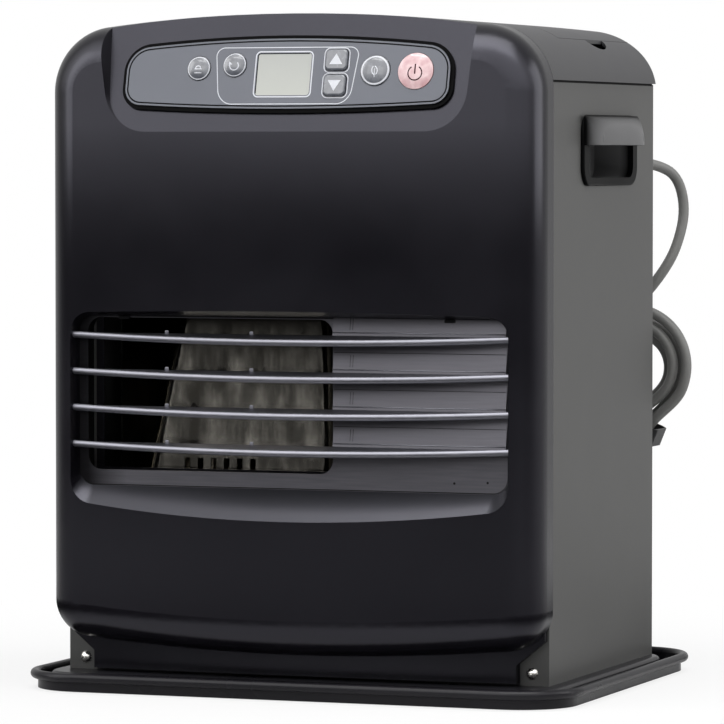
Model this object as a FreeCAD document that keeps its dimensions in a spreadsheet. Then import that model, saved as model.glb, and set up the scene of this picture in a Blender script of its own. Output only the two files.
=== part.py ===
import FreeCAD, Part
import math
import os
import re
import Sketcher

# Compact forced-air paraffin heater. Millimetres, +Z up, +X to the right, front towards -Y.
# The origin is the middle of the underside of the base tray.

SIZES = {
    # Base tray: a pressed pan with a beaded rim and a raised plateau under the cabinet
    "tray_side": 23.3,
    "tray_depth": 300.6,
    "tray_corner": 42.0,
    "tray_sheet": 1.2,
    "bead_radius": 3.0,
    "bead_height": 9.0,
    "plateau_height": 11.0,
    "plateau_margin": 9.0,
    "plateau_corner": 24.0,
    "plateau_round": 3.0,
    # Cabinet of folded sheet
    "cabinet_half": 162.2,
    "cabinet_back": 108.5,
    "cabinet_seam": -107.0,
    "cabinet_top": 386.5,
    "sheet": 1.2,
    "front_fold": 19.0,
    "rear_fold": 13.0,
    "seam_gap": 0.6,
    # Moulded front panel: bowed face, crowned top, sagging sill, set-back skirt with its corners cut away
    "panel_overhang": 2.4,
    "panel_front": -150.6,
    "panel_wall": 2.0,
    "bow_radius": 1140.0,
    "edge_round": 23.0,
    "crown_top": 429.0,
    "crown_radius": 1100.0,
    "shoulder_round": 42.0,
    "sill_bottom": 27.0,
    "sill_radius": 1600.0,
    "sill_round": 25.0,
    "skirt_setback": 34.0,
    "skirt_bow": 3000.0,
    "skirt_foot": 12.6,
    "skirt_gap": 0.6,
    "skirt_corner": 24.0,
    "web_low": 39.0,
    "web_high": 62.0,
    # Moulded top cover and tank lid
    "rear_round": 36.0,
    "lid_left": 30.0,
    "lid_right": 147.0,
    "lid_front": -45.0,
    "lid_back": 101.0,
    "lid_gap": 0.6,
    "hinge_barrel": 3.2,
    "hinge_pin": 1.5,
    "pin_clearance": 0.05,
    "hinge_back": 60.0,
    "hinge_ear": 7.0,
    "notch_middle": 27.0,
    "notch_width": 36.0,
    "notch_reach": 6.5,
    # Control scoop and fascia, in a plane that leans back
    "scoop_lean": 14.0,
    "scoop_y": -143.5,
    "scoop_z": 362.0,
    "scoop_half": 127.0,
    "scoop_bottom": -7.0,
    "scoop_corner": 26.0,
    "scoop_flare": 8.0,
    "scoop_reach": 30.0,
    "scoop_taper": 9.0,
    "fascia_half": 108.0,
    "fascia_bottom": 6.9,
    "fascia_arch": 52.0,
    "fascia_crown": 900.0,
    "fascia_sill": 1725.0,
    "fascia_shoulder": 16.0,
    "fascia_heel": 11.0,
    "fascia_thickness": 3.0,
    "bezel_width": 2.4,
    "bezel_thickness": 1.6,
    "bezel_gap": 0.2,
    "panel_window_margin": 3.0,
    "post_radius": 2.5,
    "post_left": -88.0,
    "post_right": 44.8,
    "post_low": 17.0,
    "post_high": 40.0,
    "board_drop": 12.0,
    "board_thickness": 1.6,
    "board_left": -98.0,
    "board_right": 100.0,
    "board_low": 12.0,
    "board_high": 46.0,
    # Buttons: centres across and up the fascia, cap radius, travel
    "button_clearance": 0.35,
    "button_proud": 1.8,
    "button_travel": 1.0,
    "button_flange": 0.8,
    "button_rim": 1.4,
    "button_rim_gap": 0.2,
    "button_dome": 1.3,
    "button_stem": 2.0,
    "lock_x": -59.0,
    "lock_up": 33.0,
    "lock_radius": 7.7,
    "mode_x": -35.0,
    "mode_up": 35.0,
    "mode_radius": 7.7,
    "arrow_x": 33.0,
    "arrow_up": 37.8,
    "arrow_down": 21.6,
    "arrow_width": 14.5,
    "arrow_height": 13.6,
    "arrow_corner": 3.0,
    "economy_x": 59.0,
    "economy_up": 31.0,
    "economy_radius": 9.7,
    "power_x": 85.6,
    "power_up": 30.5,
    "power_radius": 11.5,
    "display_x": -2.0,
    "display_up": 29.0,
    "display_width": 36.0,
    "display_height": 27.0,
    "display_corner": 2.0,
    "lens_back": 1.2,
    "module_border": 2.0,
    # Warm-air grille
    "grille_half": 149.5,
    "grille_low": 112.2,
    "grille_high": 243.2,
    "grille_round": 17.0,
    "throat_taper": 5.5,
    "throat_low": 131.2,
    "throat_high": 239.0,
    "throat_round": 10.0,
    "throat_y": -132.0,
    "slat_first": 153.8,
    "slat_pitch": 23.1,
    "slat_edge": 4.4,
    "slat_depth": 13.0,
    "slat_tilt": 20.0,
    "slat_thickness": 1.6,
    "slat_setback": 3.0,
    "slat_clearance": 0.2,
    "baffle_sheet": 1.0,
    "hearth_margin": 6.0,
    "hearth_right": 28.2,
    "hearth_low": 141.3,
    "hearth_high": 238.0,
    "hearth_round": 9.0,
    "fold_depth": 3.0,
    "fold_margin": 0.8,
    "fold_lift": 5.0,
    "fold_height": 17.0,
    # Side grips, moulded pockets with a hood
    "grip_front": -38.0,
    "grip_back": 59.0,
    "grip_low": 324.0,
    "grip_high": 363.0,
    "grip_fit": 0.3,
    "grip_flange": 2.4,
    "grip_border": 8.0,
    "grip_brow": 3.0,
    "grip_wall": 2.0,
    "grip_depth": 26.0,
    "grip_corner": 12.0,
    "hood_reach": 8.5,
    "hood_low": 348.0,
    "hood_inset": 5.0,
    "hood_edge": 4.0,
    "grip_edge": 1.6,
    "hood_bulge": 0.72,
    "hood_sag": 0.28,
    # Burner behind the hearth window
    "deck_height": 60.0,
    "deck_left": -130.0,
    "deck_right": 30.0,
    "deck_front": -98.0,
    "deck_back": 40.0,
    "deck_sheet": 1.2,
    "burner_x": -50.0,
    "burner_y": -40.0,
    "vaporiser_radius": 30.0,
    "vaporiser_height": 36.0,
    "burner_radius": 40.0,
    "burner_height": 18.0,
    "ring_radius": 34.0,
    "ring_wire": 3.0,
    "chamber_base": 117.0,
    "chamber_top": 250.0,
    "chamber_left": -121.6,
    "chamber_right": 13.0,
    "chamber_front": -92.0,
    "chamber_back": 12.0,
    "chamber_draw": 28.0,
    "chamber_draw_right": 4.0,
    "chamber_lean": 5.0,
    "chamber_wall": 1.0,
    "chamber_round": 10.0,
    "chamber_slot_width": 4.0,
    "chamber_slot_height": 12.0,
    "chamber_slot_drop": 6.0,
    "chamber_slot_pitch": 9.0,
    "chamber_slot_x": -64.5,
    "flue_radius": 22.0,
    "shield_height": 268.0,
    "shield_sheet": 0.8,
    "rod_radius": 2.5,
    "rod_length": 46.0,
    # Air fan in the rear panel
    "fan_x": -58.0,
    "fan_z": 190.0,
    "fan_radius": 64.0,
    "shroud_gap": 4.0,
    "shroud_wall": 2.0,
    "shroud_depth": 22.0,
    "hub_radius": 16.0,
    "hub_length": 16.0,
    "fan_setback": 5.0,
    "blade_root": 22.0,
    "blade_tip": 34.0,
    "blade_seat": 0.8,
    "blade_washout": 0.7,
    "blade_rise": 11.0,
    "blade_thickness": 1.6,
    "shaft_radius": 4.0,
    "shaft_clearance": 0.05,
    "motor_radius": 28.0,
    "motor_length": 32.0,
    "motor_fit": 0.3,
    "motor_collar": 8.0,
    "arm_width": 9.0,
    "guard_radius": 74.0,
    "guard_bar": 2.0,
    "guard_depth": 4.0,
    "filter_depth": 1.6,
    "filter_pitch": 15.0,
    # Fuel system under the lid
    "tank_left": 36.0,
    "tank_right": 132.0,
    "tank_front": -30.0,
    "tank_back": 92.0,
    "tank_low": 66.0,
    "tank_high": 372.0,
    "tank_round": 10.0,
    "tank_wall": 1.2,
    "tank_cap_radius": 21.0,
    "tank_cap_height": 22.0,
    "cap_clearance": 0.4,
    "bail_radius": 3.5,
    "bail_span": 56.0,
    "bail_rise": 22.0,
    "sump_height": 47.0,
    "sump_round": 8.0,
    "strainer_height": 20.0,
    "strainer_wall": 1.2,
    "pump_x": -50.0,
    "pump_y": 72.0,
    "pump_radius": 15.0,
    "pump_height": 46.0,
    "pipe_radius": 3.0,
    "pipe_bend": 12.0,
    "pipe_level": 32.0,
    # Electrics
    "main_board_front": -20.0,
    "main_board_back": 85.0,
    "main_board_low": 90.0,
    "main_board_high": 300.0,
    "main_board_stand": 6.0,
    "transformer_width": 44.0,
    "transformer_depth": 38.0,
    "transformer_height": 40.0,
    "winding_depth": 49.4,
    "winding_lift": 8.0,
    "transformer_x": -132.0,
    "transformer_y": 72.0,
    "tilt_width": 16.0,
    "tilt_height": 34.0,
    "tilt_x": -146.0,
    "tilt_y": -60.0,
    "sensor_x": 24.0,
    "sensor_z": 300.0,
    "sensor_width": 14.0,
    "sensor_height": 32.0,
    "sensor_depth": 7.0,
    # Pan-head screws
    "screw_head": 3.9,
    "screw_rise": 2.4,
    "screw_shank": 1.7,
    "screw_length": 7.0,
    "front_screw_inset": 11.2,
    "front_screw_z": 18.6,
    "case_screw_pitch": 150.0,
    # Mains lead
    "cord_radius": 3.5,
    "cord_x": 139.0,
    "cord_z": 335.0,
    "gland_radius": 6.5,
    "gland_flange": 9.0,
    "gland_length": 12.0,
    "gland_taper": 5.2,
    "hank_x": 123.0,
    "hank_y": 154.5,
    "hank_z": 165.0,
    "hank_tilt": 22.0,
    "hank_half": 37.0,
    "hank_fold": 21.0,
    "hank_step": 9.6,
    "hank_waist": 5.0,
    "hank_waist_step": 12.0,
    "hank_layer": 8.8,
    "hank_tail": 84.0,
    "tie_height": 12.0,
    "tie_wall": 1.4,
    "tie_fit": 0.9,
    "plug_radius": 17.5,
    "plug_length": 32.0,
    "plug_neck": 5.5,
    "plug_neck_base": 7.7,
    "plug_neck_length": 24.0,
    "plug_soft": 5.5,
    "pin_radius": 2.4,
    "pin_length": 19.0,
    "pin_spacing": 19.0,
}

doc = FreeCAD.newDocument("paraffin_heater")
sheet = doc.addObject("Spreadsheet::Sheet", "sizes")
for row, (alias, amount) in enumerate(SIZES.items(), start=1):
    sheet.set(f"A{row}", alias)
    sheet.set(f"B{row}", str(amount))
    sheet.setAlias(f"B{row}", alias)
doc.recompute()

Vector = FreeCAD.Vector
nodes = []


def size(alias):
    """The value that the sheet holds under an alias."""
    return float(sheet.get(alias))


def formula(text):
    """An expression in which every alias points at its cell of the sheet."""
    return re.sub(r"[a-z][a-z_0-9]*", lambda m: f"sizes.{m[0]}" if m[0] in SIZES else m[0], text)


def value(text):
    """The number that a formula of aliases gives now."""
    return float(sheet.evalExpression(formula(text)))


def keep(piece, label):
    """List a finished object as a sub-part of the heater."""
    piece.Label = label
    nodes.append(piece)
    return piece


def solid(label, shape, placement=None):
    """A sub-part whose shape is worked out by Part's own functions from the sheet."""
    piece = doc.addObject("Part::Feature", label)
    piece.Shape = shape
    if placement:
        piece.Placement = placement
    return keep(piece, label)


def box(name, x, y, z):
    """A block between pairs of formulas along the three axes."""
    piece = doc.addObject("Part::Box", name)
    for extent, place, (low, high) in (("Length", "x", x), ("Width", "y", y), ("Height", "z", z)):
        piece.setExpression(extent, formula(f"({high}) - ({low})"))
        piece.setExpression(f"Placement.Base.{place}", formula(low))
    return piece


TURNS = {
    "x": FreeCAD.Rotation(Vector(0, 1, 0), 90),
    "y": FreeCAD.Rotation(Vector(1, 0, 0), -90),
    "z": FreeCAD.Rotation(),
}


def cylinder(name, radius, length, base, axis="z"):
    """A cylinder that starts at base and runs along an axis."""
    piece = doc.addObject("Part::Cylinder", name)
    piece.Placement = FreeCAD.Placement(Vector(), TURNS[axis])
    piece.setExpression("Radius", formula(radius))
    piece.setExpression("Height", formula(length))
    for place, text in zip("xyz", base):
        piece.setExpression(f"Placement.Base.{place}", formula(text))
    return piece


def fuse(name, *pieces):
    """One solid out of several."""
    whole = doc.addObject("Part::MultiFuse", name)
    whole.Shapes = list(pieces)
    whole.Refine = True
    return whole


def cut(name, base, *tools):
    """A solid less the tools."""
    for index, tool in enumerate(tools):
        rest = doc.addObject("Part::Cut", name if index == len(tools) - 1 else f"{name}_cut_{index}")
        rest.Base = base
        rest.Tool = tool
        base = rest
    return base


def plane(body, role):
    """One of a body's own origin planes."""
    return next(f for f in body.Origin.OriginFeatures if f.Role == role)


def new_body(name):
    """An empty body that becomes one sub-part."""
    return keep(doc.addObject("PartDesign::Body", name), name)


def new_sketch(body, name, role="XY_Plane", lift="0"):
    """A sketch on an origin plane of its body, lifted along the plane's normal."""
    sketch = body.newObject("Sketcher::SketchObject", name)
    sketch.AttachmentSupport = [(plane(body, role), "")]
    sketch.MapMode = "FlatFace"
    sketch.setExpression("AttachmentOffset.Base.z", formula(lift))
    return sketch


def bind(sketch, constraint, text):
    """Add a dimension to a sketch and tie it to a formula."""
    index = sketch.addConstraint(constraint)
    sketch.setExpression(f"Constraints[{index}]", formula(text))


def rounded_rectangle(sketch, low, high, radius):
    """A rectangle between two corners, its own corners rounded, all tied to formulas."""
    x0, y0 = (value(text) for text in low)
    x1, y1 = (value(text) for text in high)
    r = value(radius)
    corners = [(x0 + r, y0 + r), (x1 - r, y0 + r), (x1 - r, y1 - r), (x0 + r, y1 - r)]
    lines = [
        ((x0 + r, y0), (x1 - r, y0)),
        ((x1, y0 + r), (x1, y1 - r)),
        ((x1 - r, y1), (x0 + r, y1)),
        ((x0, y1 - r), (x0, y0 + r)),
    ]
    side = [sketch.addGeometry(Part.LineSegment(Vector(*a, 0), Vector(*b, 0))) for a, b in lines]
    arc = []
    for quarter, (cx, cy) in enumerate(corners):
        circle = Part.Circle(Vector(cx, cy, 0), Vector(0, 0, 1), r)
        start = math.pi * (1 + quarter / 2)
        arc.append(sketch.addGeometry(Part.ArcOfCircle(circle, start, start + math.pi / 2)))
    for quarter in range(4):
        sketch.addConstraint(Sketcher.Constraint("Tangent", side[quarter - 1], 2, arc[quarter], 1))
        sketch.addConstraint(Sketcher.Constraint("Tangent", arc[quarter], 2, side[quarter], 1))
    sketch.addConstraint(Sketcher.Constraint("Horizontal", side[0]))
    sketch.addConstraint(Sketcher.Constraint("Vertical", side[1]))
    sketch.addConstraint(Sketcher.Constraint("Horizontal", side[2]))
    sketch.addConstraint(Sketcher.Constraint("Vertical", side[3]))
    for quarter in range(1, 4):
        sketch.addConstraint(Sketcher.Constraint("Equal", arc[0], arc[quarter]))
    bind(sketch, Sketcher.Constraint("Radius", arc[0], r), radius)
    across = Sketcher.Constraint("DistanceX", side[3], 1, side[1], 1, x1 - x0)
    bind(sketch, across, f"({high[0]}) - ({low[0]})")
    upwards = Sketcher.Constraint("DistanceY", side[0], 1, side[2], 1, y1 - y0)
    bind(sketch, upwards, f"({high[1]}) - ({low[1]})")
    bind(sketch, Sketcher.Constraint("DistanceX", -1, 1, side[1], 1, x1), high[0])
    bind(sketch, Sketcher.Constraint("DistanceY", -1, 1, side[2], 1, y1), high[1])


def add_pad(body, sketch, length, down=False):
    """Grow a sketch into a solid of its body."""
    pad = body.newObject("PartDesign::Pad", f"{sketch.Name}_pad")
    pad.Profile = sketch
    pad.setExpression("Length", formula(length))
    pad.Reversed = down
    doc.recompute()
    return pad


def add_pocket(body, sketch, depth, up=False):
    """Sink a sketch into its body, and see that it took something away."""
    before = body.Shape.Volume
    pocket = body.newObject("PartDesign::Pocket", f"{sketch.Name}_pocket")
    pocket.Profile = sketch
    pocket.setExpression("Length", formula(depth))
    pocket.Reversed = up
    doc.recompute()
    if body.Shape.Volume >= before:
        raise RuntimeError(f"{body.Label}: {sketch.Name} cut nothing")
    return pocket


def round_edges(body, name, radius, chosen):
    """Round the edges of a body's newest feature that a test picks out."""
    base = body.Tip
    edges = [f"Edge{i}" for i, edge in enumerate(base.Shape.Edges, start=1) if chosen(edge)]
    rounding = body.newObject("PartDesign::Fillet", name)
    rounding.Base = (base, edges)
    rounding.setExpression("Radius", formula(radius))
    doc.recompute()
    return rounding


def level(edge, z):
    """Whether an edge lies flat at a height."""
    return abs(edge.BoundBox.ZMin - z) < 0.01 and abs(edge.BoundBox.ZMax - z) < 0.01


def make_tray():
    """Pressed pan: outer wall, drip channel and hollow plateau, with a bead rolled round the rim."""
    body = new_body("base_tray")
    wall_inset = "(bead_radius*2 - tray_sheet)"
    half = ("(cabinet_half + tray_side)", "tray_depth/2")

    def outline(name, inset, lift="0"):
        sketch = new_sketch(body, name, lift=lift)
        low = tuple(f"-({text} - {inset})" for text in half)
        high = tuple(f"{text} - {inset}" for text in half)
        rounded_rectangle(sketch, low, high, f"tray_corner - {inset}")
        return sketch

    def plateau(name, inset, lift="0"):
        sketch = new_sketch(body, name, lift=lift)
        side = f"cabinet_half + plateau_margin - {inset}"
        low = (f"-({side})", f"-(tray_depth/2 - bead_radius*2 - plateau_margin - {inset})")
        high = (side, f"cabinet_back + plateau_margin - {inset}")
        rounded_rectangle(sketch, low, high, f"plateau_corner - {inset}")
        return sketch

    add_pad(body, outline("tray_wall", wall_inset), "bead_height")
    channel = outline("tray_channel", f"({wall_inset} + tray_sheet)", "bead_height")
    add_pocket(body, channel, "bead_height - tray_sheet")
    add_pad(body, plateau("tray_plateau", "0"), "plateau_height")
    add_pocket(body, plateau("tray_hollow", "tray_sheet"), "plateau_height - tray_sheet", up=True)
    round_edges(body, "plateau_rounding", "plateau_round", lambda e: level(e, size("plateau_height")))
    path = outline("bead_path", "bead_radius", "bead_height")
    section = new_sketch(body, "bead_section", "XZ_Plane")
    circle = section.addGeometry(Part.Circle(Vector(0, 0, 0), Vector(0, 0, 1), size("bead_radius")))
    bind(section, Sketcher.Constraint("Radius", circle, size("bead_radius")), "bead_radius")
    middle = "cabinet_half + tray_side - bead_radius"
    bind(section, Sketcher.Constraint("DistanceX", -1, 1, circle, 3, 1.0), middle)
    bind(section, Sketcher.Constraint("DistanceY", -1, 1, circle, 3, 1.0), "bead_height")
    pipe = body.newObject("PartDesign::AdditivePipe", "bead")
    pipe.Profile = section
    pipe.Spine = (path, [])
    doc.recompute()


def screw_hole(name, seat):
    """A hole through the sheet at a screw's seat, the size of its shank."""
    hole = cylinder(name, "screw_shank", "screw_length*2", ("0", "0", "0"), "y")
    for place in "xyz":
        hole.setExpression(f"Placement.Base.{place}", None)
    hole.Placement.Base = seat - Vector(0, size("screw_length"), 0)
    return hole


def make_cabinet():
    """Two folded side panels, the rear panel between their folds and the bulkhead behind the front."""
    upright = ("plateau_height", "cabinet_top")
    for side, sign in (("left", "-"), ("right", "")):
        ends = ("cabinet_half - sheet", "cabinet_half")
        fold = ("cabinet_half - front_fold", "cabinet_half - sheet")
        back_fold = ("cabinet_half - rear_fold", "cabinet_half - sheet")

        def across(pair):
            return pair if not sign else (f"-({pair[1]})", f"-({pair[0]})")

        skin = box(f"{side}_skin", across(ends), ("cabinet_seam", "cabinet_back"), upright)
        front = box(f"{side}_front_fold", across(fold), ("cabinet_seam", "cabinet_seam + sheet"), upright)
        behind = ("cabinet_back - sheet", "cabinet_back")
        back = box(f"{side}_rear_fold", across(back_fold), behind, upright)
        folded = fuse(f"{side}_folded", skin, front, back)
        mouth = box(
            f"{side}_grip_mouth",
            across(("cabinet_half - sheet*2", "cabinet_half + sheet")),
            ("grip_front - grip_fit", "grip_back + grip_fit"),
            ("grip_low - grip_fit", "grip_high + grip_fit"),
        )
        toward = -1 if sign else 1
        seats = [p for p in front_screw_places() + case_screw_places() if p.x * toward > 0]
        holes = [screw_hole(f"{side}_hole_{index}", seat) for index, seat in enumerate(seats)]
        keep(cut(f"{side}_side_panel", folded, mouth, *holes), f"{side}_side_panel")
    plate = box(
        "rear_plate",
        ("-(cabinet_half - sheet)", "cabinet_half - sheet"),
        ("cabinet_back - sheet*2", "cabinet_back - sheet"),
        upright,
    )
    inside = "cabinet_back - sheet*3"
    draught_base = ("fan_x", inside, "fan_z")
    draught = cylinder("rear_draught", "fan_radius + shroud_gap", "sheet*4", draught_base, "y")
    gland = cylinder("rear_gland_hole", "gland_radius", "sheet*4", ("cord_x", inside, "cord_z"), "y")
    holes = [screw_hole(f"rear_hole_{index}", seat) for index, seat in enumerate(case_screw_places())]
    keep(cut("rear_panel", plate, draught, gland, *holes), "rear_panel")
    wall = box(
        "bulkhead_plate",
        ("-(cabinet_half - front_fold)", "cabinet_half - front_fold"),
        ("cabinet_seam", "cabinet_seam + sheet"),
        upright,
    )
    hearth = box(
        "bulkhead_hearth",
        ("hearth_margin - (grille_half - throat_taper)", "hearth_right"),
        ("cabinet_seam - sheet", "cabinet_seam + sheet*2"),
        ("hearth_low", "hearth_high"),
    )
    keep(cut("front_bulkhead", wall, hearth), "front_bulkhead")


def tangent_profile(half, top, crown, shoulder, bottom, sill, heel):
    """Closed front elevation: crown, shoulders, sides, heels and a sagging sill, all tangent."""

    def joint(radius, corner):
        """Centre and tangent point of a corner arc between an arc of this radius and the side."""
        cx = half - corner
        rise = math.sqrt((radius - corner) ** 2 - cx**2)
        ratio = radius / (radius - corner)
        return cx, rise - radius, cx * ratio, rise * ratio - radius

    cx, cz, tx, tz = joint(crown, shoulder)
    bx, bz, sx, sz = joint(sill, heel)
    spread = math.atan2(tz - cz, tx - cx) / 2
    mid = (cx + shoulder * math.cos(spread), top + cz + shoulder * math.sin(spread))
    turn = math.atan2(sz - bz, sx - bx) / 2
    low = (bx + heel * math.cos(turn), bottom - bz - heel * math.sin(turn))
    crown_end = (tx, top + tz)
    side_top = (half, top + cz)
    side_low = (half, bottom - bz)
    sill_end = (sx, bottom - sz)

    def point(p, sign=1):
        return Vector(sign * p[0], 0, p[1])

    return Part.Wire(
        [
            Part.Arc(point(crown_end, -1), Vector(0, 0, top), point(crown_end)).toShape(),
            Part.Arc(point(crown_end), point(mid), point(side_top)).toShape(),
            Part.LineSegment(point(side_top), point(side_low)).toShape(),
            Part.Arc(point(side_low), point(low), point(sill_end)).toShape(),
            Part.Arc(point(sill_end), Vector(0, 0, bottom), point(sill_end, -1)).toShape(),
            Part.Arc(point(sill_end, -1), point(low, -1), point(side_low, -1)).toShape(),
            Part.LineSegment(point(side_low, -1), point(side_top, -1)).toShape(),
            Part.Arc(point(side_top, -1), point(mid, -1), point(crown_end, -1)).toShape(),
        ]
    )


def panel_half():
    """Half the width of the moulded front and top, which stand a little proud of the cabinet's sides."""
    return size("cabinet_half") + size("panel_overhang")


def elevation(inset):
    """The cabinet's front elevation, drawn in by an inset."""
    return tangent_profile(
        panel_half() - inset,
        size("crown_top") - inset,
        size("crown_radius") - inset,
        size("shoulder_round") - inset,
        size("sill_bottom") + inset,
        size("sill_radius") - inset,
        size("sill_round") - inset,
    )


def slab(wire, y_from, y_to):
    """A flat wire of the elevation carried from one depth to another."""
    face = Part.Face(wire)
    face.translate(Vector(0, y_from, 0))
    return face.extrude(Vector(0, y_to - y_from, 0))


def front_form(inset, back):
    """The front panel's bowed block, with its front edge rounded all the way round."""
    front = size("panel_front") + inset
    bow = size("bow_radius") - inset
    block = slab(elevation(inset), front - 1, back)
    tall = size("crown_top")
    round_bar = Part.makeCylinder(bow, tall * 2, Vector(0, front + bow, -tall / 2))
    block = block.common(round_bar)
    rim = [e for e in block.Edges if e.BoundBox.YMax < size("cabinet_seam") - 10]
    rim = [e for e in rim if e.BoundBox.YMin > front - 0.01]
    return block.makeFillet(size("edge_round") - inset, rim).fuse(skirt_form(inset, back))


def skirt_form(inset, back):
    """The skirt below the sill: set back, gently bowed, its webs cut away so that the corner screws show."""
    front = size("panel_front") + size("skirt_setback") + inset
    bow = size("skirt_bow")
    skirt = size("cabinet_half") - size("front_fold") - size("skirt_gap") - inset
    web = size("cabinet_half") - size("sheet") - inset
    outline = [
        (skirt, size("skirt_foot") + inset),
        (skirt, size("skirt_corner")),
        (web, size("web_low")),
        (web, size("web_high")),
    ]
    right = [Vector(x, 0, z) for x, z in outline]
    left = [Vector(-x, 0, z) for x, z in reversed(outline)]
    block = slab(Part.makePolygon(right + left + right[:1]), front, back)
    tall = size("crown_top")
    return block.common(Part.makeCylinder(bow, tall, Vector(0, front + bow, 0)))


def top_form(inset, front):
    """The top cover's block: the crowned elevation, rounded down to the back."""
    back = size("cabinet_back") - inset
    block = slab(elevation(inset), front, back)
    r = size("rear_round") - inset
    top = size("crown_top") * 2
    corner = size("crown_top") - inset - r
    bend = Part.Wire(
        [
            Part.LineSegment(Vector(0, front - 1, 0), Vector(0, back, 0)).toShape(),
            Part.LineSegment(Vector(0, back, 0), Vector(0, back, corner)).toShape(),
            Part.Arc(
                Vector(0, back, corner),
                Vector(0, back - r * (1 - math.sqrt(0.5)), corner + r * math.sqrt(0.5)),
                Vector(0, back - r, corner + r),
            ).toShape(),
            Part.LineSegment(Vector(0, back - r, corner + r), Vector(0, front - 1, corner + r)).toShape(),
            Part.LineSegment(Vector(0, front - 1, corner + r), Vector(0, front - 1, 0)).toShape(),
        ]
    )
    side = Part.Face(bend).extrude(Vector(top, 0, 0))
    side.translate(Vector(-top / 2, 0, 0))
    return block.common(side)


def control_place(u=0.0, w=0.0, out=0.0):
    """Placement on the leaning control plane: u across, w up the plane, out along its outward normal."""
    frame = FreeCAD.Placement(
        Vector(0, size("scoop_y"), size("scoop_z")),
        FreeCAD.Rotation(Vector(1, 0, 0), 90 - size("scoop_lean")),
    )
    return frame.multiply(FreeCAD.Placement(Vector(u, w, out), FreeCAD.Rotation()))


def scoop_wire(half_low, half_high, low, high, corner, out):
    """Shield-shaped outline of the control scoop at a distance out from its floor."""
    lean = (half_high - half_low) / (high - low)
    slope = math.atan(lean)
    reach = corner * math.tan((math.pi / 2 - slope) / 2)
    knee = (half_low - reach, low)
    side = (half_low + reach * math.sin(slope), low + reach * math.cos(slope))
    centre = (knee[0], low + corner)
    turn = -math.pi / 4 - slope / 2
    mid = (centre[0] + corner * math.cos(turn), centre[1] + corner * math.sin(turn))

    def point(p, sign=1):
        return Vector(sign * p[0], p[1], out)

    return Part.Wire(
        [
            Part.LineSegment(point(knee, -1), point(knee)).toShape(),
            Part.Arc(point(knee), point(mid), point(side)).toShape(),
            Part.LineSegment(point(side), point((half_high, high))).toShape(),
            Part.LineSegment(point((half_high, high)), point((half_high, high), -1)).toShape(),
            Part.LineSegment(point((half_high, high), -1), point(side, -1)).toShape(),
            Part.Arc(point(side, -1), point(mid, -1), point(knee, -1)).toShape(),
        ]
    )


def scoop_form(grow):
    """The hollow of the control scoop, its sides flaring outwards, grown by a wall."""
    low = size("scoop_bottom") - grow
    high = (size("crown_top") - size("scoop_z")) * 2
    wires = []
    for out in (-grow, size("scoop_reach")):
        flare = (out + grow) * size("scoop_flare") / size("scoop_reach")
        half = size("scoop_half") + grow + flare
        corner = size("scoop_corner") + grow + flare
        wires.append(scoop_wire(half - size("scoop_taper"), half, low - flare, high, corner, out))
    hollow = Part.makeLoft(wires, True, True)
    hollow.Placement = control_place()
    return hollow


def rectangle_wire(x0, x1, z0, z1, r, y):
    """Rounded rectangle that faces the front, at a depth."""
    edges = []
    corners = ((x1 - r, z1 - r, 0), (x0 + r, z1 - r, 90), (x0 + r, z0 + r, 180), (x1 - r, z0 + r, 270))
    last = None
    first = None
    for cx, cz, start in corners:
        arc = [math.radians(start + step) for step in (0, 45, 90)]
        points = [Vector(cx + r * math.cos(t), y, cz + r * math.sin(t)) for t in arc]
        if last:
            edges.append(Part.LineSegment(last, points[0]).toShape())
        first = first or points[0]
        edges.append(Part.Arc(*points).toShape())
        last = points[2]
    edges.append(Part.LineSegment(last, first).toShape())
    return Part.Wire(edges)


def throat_half():
    """Half the width of the grille's throat, where the funnel ends."""
    return size("grille_half") - size("throat_taper")


def grille_funnel(grow):
    """The tapering hollow of the warm-air grille, from ahead of the panel back to the throat."""
    throat = size("throat_y")
    face = size("panel_front")
    ahead = face - size("edge_round")
    wires = []
    for y in (ahead, throat):
        part = (y - throat) / (face - throat)
        half = throat_half() + part * size("throat_taper") + grow
        low = size("throat_low") + part * (size("grille_low") - size("throat_low")) - grow
        high = size("throat_high") + part * (size("grille_high") - size("throat_high")) + grow
        r = size("throat_round") + part * (size("grille_round") - size("throat_round")) + grow
        wires.append(rectangle_wire(-half, half, low, high, r, y))
    return Part.makeLoft(wires, True, True)


def make_front_panel():
    """Moulded front: a bowed shell with the grille's funnel and the control scoop moulded in."""
    wall = size("panel_wall")
    back = size("cabinet_seam")
    shell = front_form(0.0, back).cut(scoop_form(0.0)).cut(grille_funnel(0.0))
    hollow = front_form(wall, back + wall).cut(scoop_form(wall)).cut(grille_funnel(wall))
    window = fascia_plate(-size("panel_window_margin"), -wall * 2, wall)
    window.Placement = control_place()
    panel = shell.cut(hollow).cut(window)
    solid("front_panel", max(panel.Solids, key=lambda s: s.Volume))


def crown_height(x):
    """Height of the crowned top at a distance from the middle."""
    radius = size("crown_radius")
    return size("crown_top") - radius + math.sqrt(radius**2 - x**2)


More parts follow.
